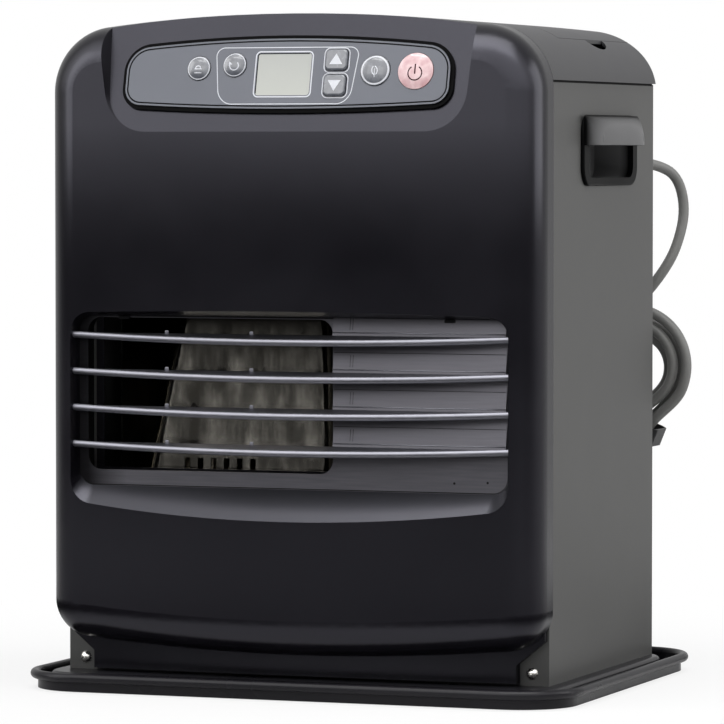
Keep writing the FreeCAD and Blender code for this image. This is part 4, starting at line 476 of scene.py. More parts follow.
top_grey = satin("charcoal moulding", "#3a3a3c", "#3f3f41", (0.46, 0.52), 0.5, 0.015)
side_grey = satin("charcoal powder coat", "#494948", "#4e4e4d", (0.46, 0.52), 1.2, 0.02)
enamel = satin("black stoved enamel", "#1b1a1e", "#1f1e22", (0.26, 0.32), 1.6, 0.01, 0.18)
grip_black = satin("black polypropylene", "#0d0d0e", "#111112", (0.30, 0.38), 0.4, 0.012)
pvc_grey = satin("grey soft vinyl", "#6e6e6c", "#787876", (0.48, 0.55), 0.6, 0.02)
bezel_black = satin("black acetal bezel", "#040405", "#060607", (0.3, 0.38), 0.4, 0.010, 0.03)
tie_black = satin("black nylon tie", "#151516", "#1c1c1d", (0.38, 0.46), 0.5, 0.02)
fan_grey = satin("grey glass-filled nylon", "#4a4b4d", "#525355", (0.5, 0.58), 0.5, 0.02)
wear(top_grey, "top_cover", "tank_lid")
wear(side_grey, "left_side_panel", "right_side_panel")
wear(enamel, "base_tray", "front_bulkhead")
wear(grip_black, "cord_gland", "display_module", "fan_guard", "fan_shroud", "fuel_strainer")
wear(grip_black, "room_sensor", "tank_bail", "tank_cap", "tilt_switch")
wear(bezel_black, "fascia_bezel")
wear(pvc_grey, "plug")
lead.data.materials.append(pvc_grey)
wear(tie_black, "cord_tie")
wear(fan_grey, "fan_rotor")
print("moulded and painted", sum(1 for m in bpy.data.materials if m.users))

# %% [markdown]
# The front panel
#
# The front is the same kind of moulding with a slightly glossy black. Two things are its own. Its face is
# gently crowned towards the top, more than the engineering model's, and so it mirrors the ceiling there.
# That is a lean added to the normal, which grows with height. And the lip below the grille is painted grey
# wherever the surface looks up: a painted sheen that stands in for the ceiling it reflects.

# %% The front panel
CROWN_FROM, CROWN_TO, CROWN_LEAN = 275.0, 360.0, 0.14
PAINTED_SHEEN_CEILING = 200.0
PAINTED_SHEEN_FLAT, PAINTED_SHEEN_FULL = 0.35, 0.65

front_black = satin("satin black moulding", "#09080c", "#0d0c10", (0.23, 0.27), 0.5, 0.010, 0.40, "#efeeff")
tree = front_black.node_tree
facing = add(tree, "ShaderNodeNewGeometry").outputs["Normal"]
level = place_on(tree, "Z")
turn = grade(tree, level, CROWN_FROM * MM, CROWN_TO * MM, 0.0, CROWN_LEAN)
upward = add(tree, "ShaderNodeCombineXYZ", {"Z": turn}).outputs[0]
leaned = add(tree, "ShaderNodeVectorMath", {0: facing, 1: upward}, operation="ADD").outputs[0]
crowned = add(tree, "ShaderNodeVectorMath", {0: leaned}, operation="NORMALIZE").outputs[0]
feed(tree, tree.nodes["Bump"], {"Normal": crowned})

# Painted sheen: below the grille, surfaces that look up are painted a lighter grey for the ceiling they
# reflect.
looks_up = add(tree, "ShaderNodeSeparateXYZ", {0: facing}).outputs["Z"]
painted_sheen = grade(tree, looks_up, PAINTED_SHEEN_FLAT, PAINTED_SHEEN_FULL)
below = join(tree, "LESS_THAN", level, PAINTED_SHEEN_CEILING * MM)
cover(tree, tree.nodes["Principled BSDF"], "#343438", join(tree, "MULTIPLY", painted_sheen, below))
wear(front_black, "front_panel")
print("front crowned from", CROWN_FROM, "to", CROWN_TO, "mm")

# %% [markdown]
# The side grips
#
# The grips are black, but the outside of the hood has a painted sheen for the overhead light, and the bottom
# of the pocket is painted grey for the stray light it catches. How far a point stands out from the cabinet's
# side, or how deep it lies in it, says which.

# %% The side grips
GRIP_FLANGE = 163.4
HOOD_SHEEN_FROM, HOOD_SHEEN_TO = GRIP_FLANGE + 2.4, GRIP_FLANGE + 9.0
POCKET_LIGHT_FROM, POCKET_LIGHT_TO = GRIP_FLANGE - 2.0, GRIP_FLANGE - 8.0

grip_satin, tree, shader = new_material("black polypropylene with painted light")
# Painted light: grey on the hood's outside as its sheen, and in the pocket as the light it catches.
depth = join(tree, "ABSOLUTE", place_on(tree, "X"), 0.0)
painted_hood_sheen = grade(tree, depth, HOOD_SHEEN_FROM * MM, HOOD_SHEEN_TO * MM)
painted_pocket_light = grade(tree, depth, POCKET_LIGHT_FROM * MM, POCKET_LIGHT_TO * MM)
painted_grip_light = join(tree, "MAXIMUM", painted_hood_sheen, painted_pocket_light)
bump = add(tree, "ShaderNodeBump", {"Height": pattern(tree, 0.4, detail=1.0), "Distance": 0.012 * MM})
feed(tree, shader, {
    "Base Color": ramp(tree, painted_grip_light, 0.0, 1.0, "#0a0a0b", "#6c6c6d"),
    "Roughness": between(tree, pattern(tree, CLOUD), 0.30, 0.38),
    "Specular IOR Level": 0.03,
    "Normal": bump.outputs[0],
})
wear(grip_satin, "left_grip", "right_grip")
print("grips rubbed beyond", HOOD_SHEEN_FROM, "mm")

# %% [markdown]
# Metals
#
# Sheet metal keeps the lay of the rollers or the belt that finished it, so its tone and shine are drawn out
# along one axis. Stretching plain noise by twenty to one gives that lay without any picture. The combustion
# chamber is stainless that heat has yellowed and buckled a little, the baffle is aluminised sheet, and the
# slats are bright drawn section.

# %% Metals
ALONG_X = (0.05, 1.0, 1.0)
UPRIGHT_WIDE = (1.0, 1.0, 0.25)
EVEN = (1.0, 1.0, 1.0)


def brushed(name, dark, light, shine, size, stretch, depth=0.004):
    """Bare metal with a lay: tone and roughness follow noise drawn out along one axis."""
    material, tree, shader = new_material(name)
    lay = pattern(tree, size, detail=3.0, stretch=stretch)
    bump = add(tree, "ShaderNodeBump", {"Height": lay, "Distance": depth * MM})
    feed(tree, shader, {
        "Base Color": ramp(tree, lay, 0.3, 0.7, dark, light),
        "Metallic": 1.0,
        "Roughness": between(tree, lay, *shine),
        "Normal": bump.outputs[0],
    })
    return material


bright_slat = brushed("satin drawn steel", "#78787f", "#828289", (0.42, 0.48), 1.0, ALONG_X, 0.001)
dark_sheet = brushed("aluminised sheet", "#545358", "#5e5d62", (0.46, 0.54), 1.5, ALONG_X, 0.002)
hot_steel = brushed("heat-tinted stainless", "#cdc8bd", "#dcd7cc", (0.06, 0.22), 11.0, UPRIGHT_WIDE, 0.7)
sooted_steel = brushed("sooted stainless", "#5f5d59", "#716f6a", (0.14, 0.24), 11.0, UPRIGHT_WIDE, 0.2)
screw_bright = brushed("nickel-plated steel", "#c4c2bd", "#dedcd7", (0.2, 0.3), 0.8, EVEN)
brass = brushed("turned brass", "#b08a45", "#c7a25c", (0.25, 0.35), 0.7, EVEN)
copper = brushed("drawn copper", "#b06a48", "#c47d59", (0.25, 0.38), 1.0, ALONG_X)
wear(dark_sheet, "grille_baffle")
wear(hot_steel, "combustion_chamber", "burner_head", "flame_ring")
wear(sooted_steel, "heat_shield")
wear(screw_bright, "front_screws", "case_screws")
wear(brass, "vaporiser")
wear(copper, "fuel_pipe")
print("metals on", len(bpy.data.materials), "materials in all")

# %% [markdown]
# Darkening and painted shade
#
# Two surfaces near the flame are darkened. The baffle is darker towards its left margin, and the top of
# the combustion chamber has painted shade, as under the first slat. Each is a black that fades out along
# one axis, over a few centimetres.

# %% Darkening and painted shade
SHEET_DARKENING = (-138.0, -112.0)
CHAMBER_PAINTED_SHADE = (238.0, 196.0)


def darkening(material, axis, dark_end, plain_end, most):
    """Blackens a material along an axis: the most of it at the dark end, none at the plain end."""
    tree = material.node_tree
    share = grade(tree, place_on(tree, axis), dark_end * MM, plain_end * MM, most, 0.0)
    cover(tree, tree.nodes["Principled BSDF"], "#000000", share)


# The baffle is darker towards its left margin; the chamber's top is painted shade, as under the first slat.
darkening(dark_sheet, "X", *SHEET_DARKENING, 0.88)
darkening(hot_steel, "Z", *CHAMBER_PAINTED_SHADE, 0.90)
print("soot fades over", SHEET_DARKENING[1] - SHEET_DARKENING[0], "and", CHAMBER_PAINTED_SHADE[0] - CHAMBER_PAINTED_SHADE[1], "mm")

# %% [markdown]
# Zinc, board, filter and ceramic
#
# Hot-dip zinc freezes in flat crystals, each with its own tilt, which a cell pattern gives. A circuit board
# is green lacquer over copper lanes. The dust filter is woven, so its threads are two crossed waves. The
# electrodes' insulators are plain glazed alumina with a little speckle.

# %% Zinc, board, filter and ceramic
SPANGLE, LANE, THREAD = 7.0, 8.0, 1.4

zinc, tree, shader = new_material("galvanised sheet")
place = add(tree, "ShaderNodeTexCoord").outputs["Object"]
spangle = add(tree, "ShaderNodeTexVoronoi", {"Vector": place, "Scale": 1 / (SPANGLE * MM)})
tint = add(tree, "ShaderNodeSeparateColor", {0: spangle.outputs["Color"]}).outputs[0]
feed(tree, shader, {
    "Base Color": ramp(tree, tint, 0.0, 1.0, "#8d8f91", "#a6a8aa"),
    "Metallic": 0.9,
    "Roughness": between(tree, tint, 0.38, 0.5),
})

board, tree, shader = new_material("lacquered circuit board")
lanes = add(tree, "ShaderNodeTexBrick", {
    "Vector": add(tree, "ShaderNodeTexCoord").outputs["Object"],
    "Color1": paint("#1d5a35"),
    "Color2": paint("#236a3f"),
    "Mortar": paint("#174a2b"),
    "Scale": 1 / (LANE * MM),
    "Mortar Size": 0.04,
})
feed(tree, shader, {"Base Color": lanes.outputs["Color"], "Roughness": 0.3})

weave, tree, shader = new_material("woven nylon filter")
place = add(tree, "ShaderNodeTexCoord").outputs["Object"]
values = {"Vector": place, "Scale": math.pi / 10 / (THREAD * MM)}
warp = add(tree, "ShaderNodeTexWave", values, bands_direction="X").outputs["Fac"]
weft = add(tree, "ShaderNodeTexWave", values, bands_direction="Z").outputs["Fac"]
thread = join(tree, "MAXIMUM", warp, weft)
bump = add(tree, "ShaderNodeBump", {"Height": thread, "Distance": 0.2 * MM})
feed(tree, shader, {
    "Base Color": ramp(tree, thread, 0.4, 0.9, "#0b0b0c", "#3a3b3d"),
    "Roughness": 0.7,
    "Normal": bump.outputs[0],
})

ceramic = satin("glazed alumina", "#d9d6cd", "#e6e3da", (0.2, 0.3), 0.8, 0.01)
wear(zinc, "rear_panel", "burner_deck", "fan_motor", "fuel_pump", "fuel_tank", "lid_hinge_pin")
wear(zinc, "motor_shaft", "sump_tank", "transformer")
wear(board, "control_board", "main_board")
wear(weave, "dust_filter")
wear(ceramic, "flame_sensor", "igniter")
print("bare nodes", [name for name, node in nodes.items() if not node.data.materials])

# %% [markdown]
# Control fascia: film, display and caps
#
# The fascia is a moulding with a silver film bonded on, printed in white. The caps are clear acrylic over
# that film, and the power cap is a translucent rose so that a lamp can shine through it. The film covers
# the face alone, so where the moulding turns away at its edge it is black. The display is a reflective
# liquid crystal: unlit it is the pale green-grey of its back polariser, with painted shade that makes it a
# little darker towards its top edge, where the frame shades it.

# %% Control fascia: film, display and caps
FASCIA_LEAN = math.radians(14.0)
EDGE_TURNED, EDGE_SQUARE = 0.90, 0.97

film, tree, shader = new_material("silver fascia film")
fleck = pattern(tree, 0.35, detail=1.0)
bump = add(tree, "ShaderNodeBump", {"Height": fleck, "Distance": 0.004 * MM})
feed(tree, shader, {
    "Base Color": ramp(tree, pattern(tree, 90.0), 0.3, 0.7, "#5d6069", "#656871"),
    "Roughness": between(tree, fleck, 0.34, 0.42),
    "Normal": bump.outputs[0],
})
facing = add(tree, "ShaderNodeNewGeometry").outputs["Normal"]
ahead = (0.0, -math.cos(FASCIA_LEAN), math.sin(FASCIA_LEAN))
square = add(tree, "ShaderNodeVectorMath", {0: facing, 1: ahead}, operation="DOT_PRODUCT").outputs["Value"]
cover(tree, shader, "#070708", grade(tree, square, EDGE_TURNED, EDGE_SQUARE, 1.0, 0.0))

glass, tree, shader = new_material("reflective liquid crystal")
display_low, display_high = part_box("display_window")
# Painted shade: the display is a little darker towards its top edge, where the frame shades it.
rise = grade(tree, place_on(tree, "Z"), display_low[2], display_high[2])
feed(tree, shader, {
    "Base Color": ramp(tree, rise, 0.0, 1.0, "#bdbfb8", "#b0b2ae"),
    "Roughness": between(tree, pattern(tree, 0.3), 0.16, 0.22),
})


def cap_finish(name, dark, light):
    """A clear glossy cap over a tinted film: the film's tone under a smooth hard coat."""
    material, tree, shader = new_material(name)
    cloud = pattern(tree, 5.0)
    feed(tree, shader, {
        "Base Color": ramp(tree, cloud, 0.3, 0.7, dark, light),
        "Roughness": between(tree, cloud, 0.2, 0.3),
        "Coat Weight": 1.0,
        "Coat Roughness": 0.04,
    })
    return material


clear_cap = cap_finish("clear acrylic cap", "#4f525a", "#656870")
rose_cap = cap_finish("rose acrylic cap", "#cf9fa3", "#e6c6c8")
wear(film, "control_fascia")
wear(glass, "display_window")
wear(clear_cap, "lock_button", "mode_button", "up_button", "down_button", "economy_button")
wear(rose_cap, "power_button")
print("display", [round(v * 1000, 1) for v in np.array(display_high) - np.array(display_low)], "mm")

# %% [markdown]
# Control fascia: the print
#
# Screen print is a film of ink a few hundredths of a millimetre thick. Each line of it is a ribbon: a path
# across and up the fascia, pushed half a line's width to both sides. On a domed cap the ribbon follows the
# dome. The marks are the plain ones that any appliance could carry.

# %% Control fascia: the print's helpers
FASCIA_FOOT = np.array((0.0, -143.5, 362.0))
FASCIA_FACE = 3.0
CAP_TOP = 4.8
CAP_DOME = 1.3
INK = 0.03


def on_fascia(flat, out):
    """Frame places, in metres, of points across and up the leaning fascia and a height out of it."""
    back = flat[..., 1] * math.sin(FASCIA_LEAN) - out * math.cos(FASCIA_LEAN)
    up = flat[..., 1] * math.cos(FASCIA_LEAN) + out * math.sin(FASCIA_LEAN)
    return (FASCIA_FOOT + np.stack([flat[..., 0], back, up], axis=-1)) * MM


def arc(centre, radius, start, end, count=24):
    """Points round a circle from one angle to another, in degrees."""
    turn = np.radians(np.linspace(start, end, count))
    return np.array(centre) + radius * np.stack([np.cos(turn), np.sin(turn)], axis=-1)


def rounded(low_half, high_half, low, high, low_corner, high_corner):
    """Closed outline of an upright trapezoid with round corners, its sides drawn in by height."""
    middle = (low_half + high_half) / 2
    corners = [
        arc((middle - high_corner, high - high_corner), high_corner, 0, 90, 12),
        arc((high_corner - middle, high - high_corner), high_corner, 90, 180, 12),
        arc((low_corner - middle, low + low_corner), low_corner, 180, 270, 12),
        arc((middle - low_corner, low + low_corner), low_corner, 270, 360, 12),
    ]
    path = np.concatenate(corners)
    share = (path[:, 1] - low) / (high - low)
    taper = (low_half + (high_half - low_half) * share) / middle
    return path * np.stack([taper, np.ones_like(taper)], axis=-1)


def ribbon(path, width, closed=False):
    """Grid of a printed line: each point of the path, pushed half the width to both sides of its heading."""
    if closed:
        ahead = np.roll(path, -1, axis=0) - np.roll(path, 1, axis=0)
    else:
        ahead = np.gradient(path, axis=0)
    across = np.stack([-ahead[:, 1], ahead[:, 0]], axis=-1)
    across = across / np.linalg.norm(across, axis=1, keepdims=True)
    return path[:, None] + across[:, None] * np.array([-0.5, 0.5])[None, :, None] * width


def wedge(tip, foot, half):
    """Grid of a filled triangle: rows shrink from the foot's width to nothing at the tip."""
    share = np.linspace(0, 1, 8)[:, None]
    side = np.array([-1.0, 1.0])[None]
    tip, foot = np.array(tip), np.array(foot)
    ahead = (tip - foot) / np.linalg.norm(tip - foot)
    across = np.array((-ahead[1], ahead[0]))
    line = foot + (tip - foot) * share
    return line[:, None] + across * (side * half * (1 - share))[..., None]


def printed(name, body, ink, grid, centre=(0.0, 0.0), dome_radius=None, face=FASCIA_FACE, closed=False):
    """A printed mark or painted shade line on the fascia, on a flat cap, or on a cap whose dome has a
    radius.
    """
    out = np.full(grid.shape[:2], face + INK)
    if dome_radius:
        off = np.linalg.norm(grid, axis=-1) / dome_radius
        out = CAP_TOP - CAP_DOME * off**2 + INK
    mesh = grid_mesh(name, on_fascia(grid + np.array(centre), out), close_u=closed)
    made = piece(name, mesh, body, ink)
    return made


white_ink = satin("white screen ink", "#d6d8e0", "#e6e8ee", (0.4, 0.5), 0.3, 0.01)
maroon_ink = satin("maroon screen ink", "#35171b", "#401f24", (0.4, 0.5), 0.3, 0.01, 0.05)
black_ink_and_shade = satin("black screen ink and painted shade", "#050506", "#09090a", (0.4, 0.5), 0.3, 0.01, 0.03)
print("ink", INK, "mm thick")

# %% Control fascia: lines on the film
GROUP_MIDDLE = (-0.4, 0.0)
SCREEN_MIDDLE = (-2.0, 29.0)
ARROWS_ACROSS = 33.0
ARROW_HEIGHTS = {"up": 37.8, "down": 21.6}
FASCIA_HALF = 108.0
FASCIA_LOW, FASCIA_HIGH = 6.9, 52.0
CROWN_RADIUS, SILL_RADIUS = 900.0, 1725.0
SHOULDER, HEEL = 16.0, 11.0


def fascia_line(inset):
    """The fascia's own outline, drawn in by an inset: two corner arcs under a crown, two above a sill."""
    half = FASCIA_HALF - inset

    def end(height, bow, corner):
        """Corner arc and bow of one end, as if it were the top, from the right to the left."""
        across = half - corner
        drop = math.sqrt((bow - corner) ** 2 - across**2) - bow
        meet = math.degrees(math.atan2(drop + bow, across))
        right = arc((across, height + drop), corner, 0, meet)
        over = arc((0, height - bow), bow, meet, 180 - meet, 48)
        return np.concatenate([right, over, right[::-1] * (-1, 1)])

    top = end(FASCIA_HIGH - inset, CROWN_RADIUS - inset, SHOULDER - inset)
    foot = end(-FASCIA_LOW - inset, SILL_RADIUS - inset, HEEL - inset)
    return np.concatenate([top, foot[::-1] * (1, -1)])


printed("fascia_edge_line", "housing", black_ink_and_shade, ribbon(fascia_line(1.6), 0.9, True), closed=True)
group = rounded(43.6, 48.0, 9.9, 46.2, 9.0, 6.0)
printed("group_line", "housing", white_ink, ribbon(group, 0.55, True), GROUP_MIDDLE, closed=True)
screen = rounded(19.0, 19.0, -14.5, 14.5, 3.0, 3.0)
printed("screen_line", "housing", white_ink, ribbon(screen, 0.8, True), SCREEN_MIDDLE, closed=True)
# The screen shade is painted shadow: a black line inside the display's top and left edges, under its frame.
shade = rounded(17.7, 17.7, -13.2, 13.2, 1.6, 1.6)
printed("screen_shade", "housing", black_ink_and_shade, ribbon(shade[9:28], 0.6), SCREEN_MIDDLE)

# %% Control fascia: marks on the arrow keys
KEY_ACROSS, KEY_UP, KEY_CORNER = 8.3, 7.8, 3.6
KEY_LINE = 0.6

for which, up in ARROW_HEIGHTS.items():
    sign = 1 if which == "up" else -1
    spot = (ARROWS_ACROSS, up)
    edge = rounded(KEY_ACROSS, KEY_ACROSS, -KEY_UP, KEY_UP, KEY_CORNER, KEY_CORNER)
    printed(f"{which}_key_line", "housing", white_ink, ribbon(edge, KEY_LINE, True), spot, closed=True)
    mark = wedge((0.0, sign * 3.9), (0.0, sign * -3.0), 4.3)
    printed(f"{which}_mark", f"{which}_key", white_ink, mark, spot, face=CAP_TOP)
print("arrow keys marked", list(ARROW_HEIGHTS))

# %% Control fascia: marks on the round caps
CAPS = {
    "lock": ((-59.0, 33.0), 7.7),
    "mode": ((-35.0, 35.0), 7.7),
    "economy": ((59.0, 31.0), 9.7),
    "power": ((85.6, 30.5), 11.5),
}


def mark_cap(cap, label, grid, ink=white_ink, closed=False):
    """A mark on the dome of a round cap, which travels with its key."""
    centre, radius = CAPS[cap]
    printed(f"{cap}_{label}", f"{cap}_key", ink, grid, centre, radius, closed=closed)


for cap, share, width in (("lock", 0.92, 0.5), ("mode", 0.92, 0.5), ("economy", 0.9, 1.0)):
    circle = arc((0, 0), CAPS[cap][1] * share, 0, 360, 49)[:-1]
    mark_cap(cap, "ring", ribbon(circle, width, True), closed=True)

body_line = np.stack([np.linspace(-2.4, 2.4, 8), np.full(8, -1.9)], axis=-1)
mark_cap("lock", "bolt", ribbon(body_line, 3.0))
mark_cap("lock", "shackle", ribbon(arc((0, -0.4), 1.7, 0, 180), 0.6))
mark_cap("mode", "turn", ribbon(arc((0, -0.6), 2.9, 150, 400), 0.7))
mark_cap("mode", "turn_tip", wedge((-3.4, 2.2), (-2.3, -0.4), 1.4))
mark_cap("economy", "leaf_right", ribbon(arc((-1.8, -0.6), 3.6, -42, 60), 0.6))
mark_cap("economy", "leaf_left", ribbon(arc((1.8, 0.0), 3.6, 138, 240), 0.6))
vein = np.stack([np.zeros(8), np.linspace(-4.6, 1.0, 8)], axis=-1)
mark_cap("economy", "leaf_vein", ribbon(vein, 0.5))
mark_cap("power", "arc", ribbon(arc((0, -1.6), 4.5, 122, 418, 40), 0.8), maroon_ink)
bar = np.stack([np.zeros(8), np.linspace(-2.2, 4.2, 8)], axis=-1)
mark_cap("power", "bar", ribbon(bar, 0.9), maroon_ink)
print("caps marked", list(CAPS))

# %% [markdown]
# Warm-air grille: the slats
#
# Each slat is a bright half-round bead, bowed with the front, that runs back into a thin blade. The
# engineering model has that shape, but its mesh is facets, and on bright metal each facet would flash by
# itself. So the slat is drawn once more as one smooth skin: a section carried along the bow, with more rows
# than the eye can part.

# %% Warm-air grille: the slats
SLAT_FIRST, SLAT_PITCH = 153.8, 23.1
SLAT_LINE = -147.6
SLAT_TILT = math.radians(20.0)
SLAT_BOW = 1140.0
BEAD = 2.2
BLADE_HALF, BLADE_REAR = 0.8, 13.0
THROAT = -132.0
PANEL_FACE = -150.6
THROAT_HALF, THROAT_TAPER = 143.8, 5.5
SLAT_CREASE = math.radians(40.0)


def slat_skin(height):
    """Grid of one slat, row by row along it.

    The section goes round from the blade's rear to the bead and back: a half circle in front, flats behind
    it. Points of the bead follow a circle's bow, points of the rear edge don't. The ends keep to the
    funnel's taper, and the section leans about the slat's front line.
    """
    turn = np.radians(np.linspace(-90, 90, 25))
    follow = np.concatenate([[0, 1], np.ones(25), [1, 0]])
    offset = np.concatenate([[BLADE_REAR, BEAD], BEAD - BEAD * np.cos(turn), [BEAD, BLADE_REAR]])
    rise = np.concatenate([[-BLADE_HALF, -BLADE_HALF], BEAD * np.sin(turn), [BLADE_HALF, BLADE_HALF]])
    share = np.concatenate([[-1], np.linspace(-1, 1, 161), [1]])[:, None]
    end_depth = offset + follow * (SLAT_BOW - math.sqrt(SLAT_BOW**2 - THROAT_HALF**2))
    end_back = SLAT_LINE + end_depth * math.cos(SLAT_TILT) - rise * math.sin(SLAT_TILT)
    end_across = THROAT_HALF + THROAT_TAPER * (end_back - THROAT) / (PANEL_FACE - THROAT)
    across = share * end_across
    depth = offset + follow * (SLAT_BOW - np.sqrt(SLAT_BOW**2 - across**2))
    back = SLAT_LINE + depth * math.cos(SLAT_TILT) - rise * math.sin(SLAT_TILT)
    up = height + depth * math.sin(SLAT_TILT) + rise * math.cos(SLAT_TILT)
    skin = np.stack([across, back, up], axis=-1)
    skin[[0, -1]] = skin[[0, -1]].mean(axis=1, keepdims=True)
    return skin * MM


slat_heights = SLAT_FIRST + SLAT_PITCH * np.arange(4)
for index, height in enumerate(slat_heights, 1):
    skin = laid(f"slat_skin_{index}", slat_skin(height), bright_slat, "slat_metal", close_v=True)
    skin.data.set_sharp_from_angle(angle=SLAT_CREASE)
    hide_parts(f"grille_slat_{index}")
print("slats", [round(float(h), 1) for h in slat_heights])

# %% [markdown]
# Warm-air grille: the baffle's small work
#
# The baffle beside the hearth is one sheet folded into steps, like boarding. Each step ends in a rolled hem
# that catches the light, has a score where the sheet was folded, and two short ribs pressed in near the
# hearth. These are fractions of a millimetre, so they are laid on the steps here: a tube for a hem, and for
# a score or a rib a dark ribbon of painted shade, where the groove would be shaded.

# %% Warm-air grille: the baffle's small work
STEP_LIFT, STEP_HEIGHT, STEP_DEPTH = 5.0, 17.0, 3.0
STEP_LEFT, STEP_RIGHT = 29.2, 142.6
HEM, HEM_UP, HEM_SUNK = 0.4, 2.0, 0.45
SCORE_UP, SCORE_WIDTH = 12.7, 0.4
RIBS = {"left": 40.4, "right": 42.2}
RIB_LOW, RIB_HIGH, RIB_WIDTH = 3.6, 11.2, 0.35
# Painted shade: a near-black for gaps, scores, ribs, holes and the bands under the cover; the hooks share it
# as their own black.
shade_and_black = satin("painted shade and black parts", "#0b0b0c", "#111113", (0.6, 0.7), 0.4, 0.01, 0.1)


def on_step(flat, height):
    """Frame places, in metres, of points across and up the slope of a step, a breath proud of the sheet."""
    back = THROAT - STEP_DEPTH * (1 - flat[..., 1] / STEP_HEIGHT) - INK
    return np.stack([flat[..., 0], back, height + STEP_LIFT + flat[..., 1]], axis=-1) * MM


def rod(start, end, radius):
    """Grid of a round rod along X: circles at both ends, each drawn in to its middle."""
    turn = np.linspace(2 * math.pi, 0, 17)[:-1]
    ring = np.stack([np.zeros(16), np.cos(turn), np.sin(turn)], axis=-1) * radius
    ends = np.array([start, start, end, end])[:, None]
    return (ends + ring * np.array([0, 1, 1, 0])[:, None, None]) * MM


for index, height in enumerate(slat_heights, 1):
    place = np.array((0.0, THROAT - STEP_DEPTH + HEM_SUNK, height + STEP_LIFT + HEM_UP))
    hem = rod(place + (STEP_LEFT, 0, 0), place + (STEP_RIGHT, 0, 0), HEM)
    laid(f"step_hem_{index}", hem, bright_slat, "slat_metal", close_v=True)
    # The scores and ribs are painted shade: dark ribbons where a groove would be shaded.
    score = np.stack([np.linspace(STEP_LEFT, STEP_RIGHT, 24), np.full(24, SCORE_UP)], axis=-1)
    fold = on_step(ribbon(score, SCORE_WIDTH), height)
    laid(f"step_score_{index}", fold, shade_and_black, "baffle_steel")
    for side, across in RIBS.items():
        line = np.stack([np.full(12, across), np.linspace(RIB_LOW, RIB_HIGH, 12)], axis=-1)
        rib = on_step(ribbon(line, RIB_WIDTH), height)
        laid(f"step_rib_{side}_{index}", rib, shade_and_black, "baffle_steel")
print("steps", len(slat_heights), "hems", HEM * 2, "mm thick")

# %% [markdown]
# Warm-air grille: seam, holes, hooks and lugs
#
# Four more small things make the grille look assembled: the dark gap where the sheet meets the moulding
# and two vent holes in the bottom strip, both painted shade in black, two hooks that hold the sheet's top
# edge, and the lugs on each slat's rear edge. A superellipsoid, which is an ellipsoid with its sines and
# cosines squared up, serves for hooks and lugs alike.

# %% Warm-air grille: seam, holes, hooks and lugs
SEAM_HALF, SEAM_LOW, SEAM_HIGH, SEAM_CORNER = 143.6, 131.7, 238.7, 9.6
SEAM_WIDTH = 0.6
HOLES = {"left": (108.5, 137.6), "right": (130.3, 138.4)}
HOLE_RADIUS = 0.75
HOOKS = {"left": -112.8, "right": 106.0}
HOOK_UP, HOOK_PROUD, HOOK_HALVES = 237.9, 0.8, (3.8, 0.9, 1.1)
LUGS = {"left": -82.4, "right": -25.0}
LUG_UP, LUG_PROUD, LUG_HALVES = 1.4, 0.4, (1.3, 0.4, 1.2)


def on_sheet(flat):
    """Frame places, in metres, of points across and up the baffle's own sheet, a breath proud of it."""
    return np.stack([flat[..., 0], np.full(flat.shape[:-1], THROAT - INK), flat[..., 1]], axis=-1) * MM


def squared(angle, power=0.4):
    """Sine and cosine of an angle, each raised to a power with its sign kept."""
    both = np.stack([np.sin(angle), np.cos(angle)])
    return np.sign(both) * np.abs(both) ** power


def pebble(middle, halves):
    """Superellipsoid with three half sizes: squared sines and cosines of a height angle and a turn angle."""
    rise_sin, rise_cos = squared(np.linspace(-math.pi / 2, math.pi / 2, 13))
    turn_sin, turn_cos = squared(np.linspace(2 * math.pi, 0, 25)[:-1])
    shape = [
        rise_cos[:, None] * turn_cos,
        rise_cos[:, None] * turn_sin,
        rise_sin[:, None] * np.ones_like(turn_sin),
    ]
    return (np.array(middle) + np.stack(shape, axis=-1) * np.array(halves)) * MM


# The gap and the vent holes are painted shade: a dark ribbon and dark discs where there is only shade.
seam = rounded(SEAM_HALF, SEAM_HALF, SEAM_LOW, SEAM_HIGH, SEAM_CORNER, SEAM_CORNER)
gap = on_sheet(ribbon(seam, SEAM_WIDTH, True))
laid("sheet_seam", gap, shade_and_black, "baffle_steel", close_u=True)
rim = arc((0, 0), HOLE_RADIUS, 0, 360, 25)[:-1]
for side, spot in HOLES.items():
    hole = on_sheet(np.array(spot) + np.linspace(0, 1, 3)[:, None, None] * rim)
    laid(f"vent_hole_{side}", hole, shade_and_black, "baffle_steel", close_v=True)
for side, across in HOOKS.items():
    hook = pebble((across, THROAT - HOOK_PROUD, HOOK_UP), HOOK_HALVES)
    laid(f"sheet_hook_{side}", hook, shade_and_black, "black_moulding", close_v=True)
lug_back = SLAT_LINE + BLADE_REAR * math.cos(SLAT_TILT) - LUG_PROUD
lug_rise = BLADE_REAR * math.sin(SLAT_TILT) + LUG_UP
for index, height in enumerate(slat_heights, 1):
    for side, across in LUGS.items():
        lug = pebble((across, lug_back, height + lug_rise), LUG_HALVES)
        laid(f"slat_lug_{side}_{index}", lug, bright_slat, "slat_metal", close_v=True)

# %% [markdown]
# Cover gap shade
#
# Between the top cover and the cabinet runs a gap of half a millimetre, which is dark. A black band
# along the top edge of the sheet inside it is painted shade for that gap; without it, daylight would show
# through at the rear corner. It is a square section carried along the cabinet's outline. A second, much
# thinner band outside it is painted shade too: the dark line of the gap itself.

# %% Cover gap shade
GAP_BAND_HALF, GAP_BAND_FRONT, GAP_BAND_BACK = 161.9, -106.0, 108.2
GAP_BAND_LOW, GAP_BAND_HIGH, GAP_BAND_THICK = 386.5, 389.0, 0.9
GAP_BAND_CORNER = 1.5
SHADOW_HALF, SHADOW_FRONT, SHADOW_BACK = 162.24, -106.9, 108.55
SHADOW_LOW, SHADOW_THICK = 385.7, 0.04


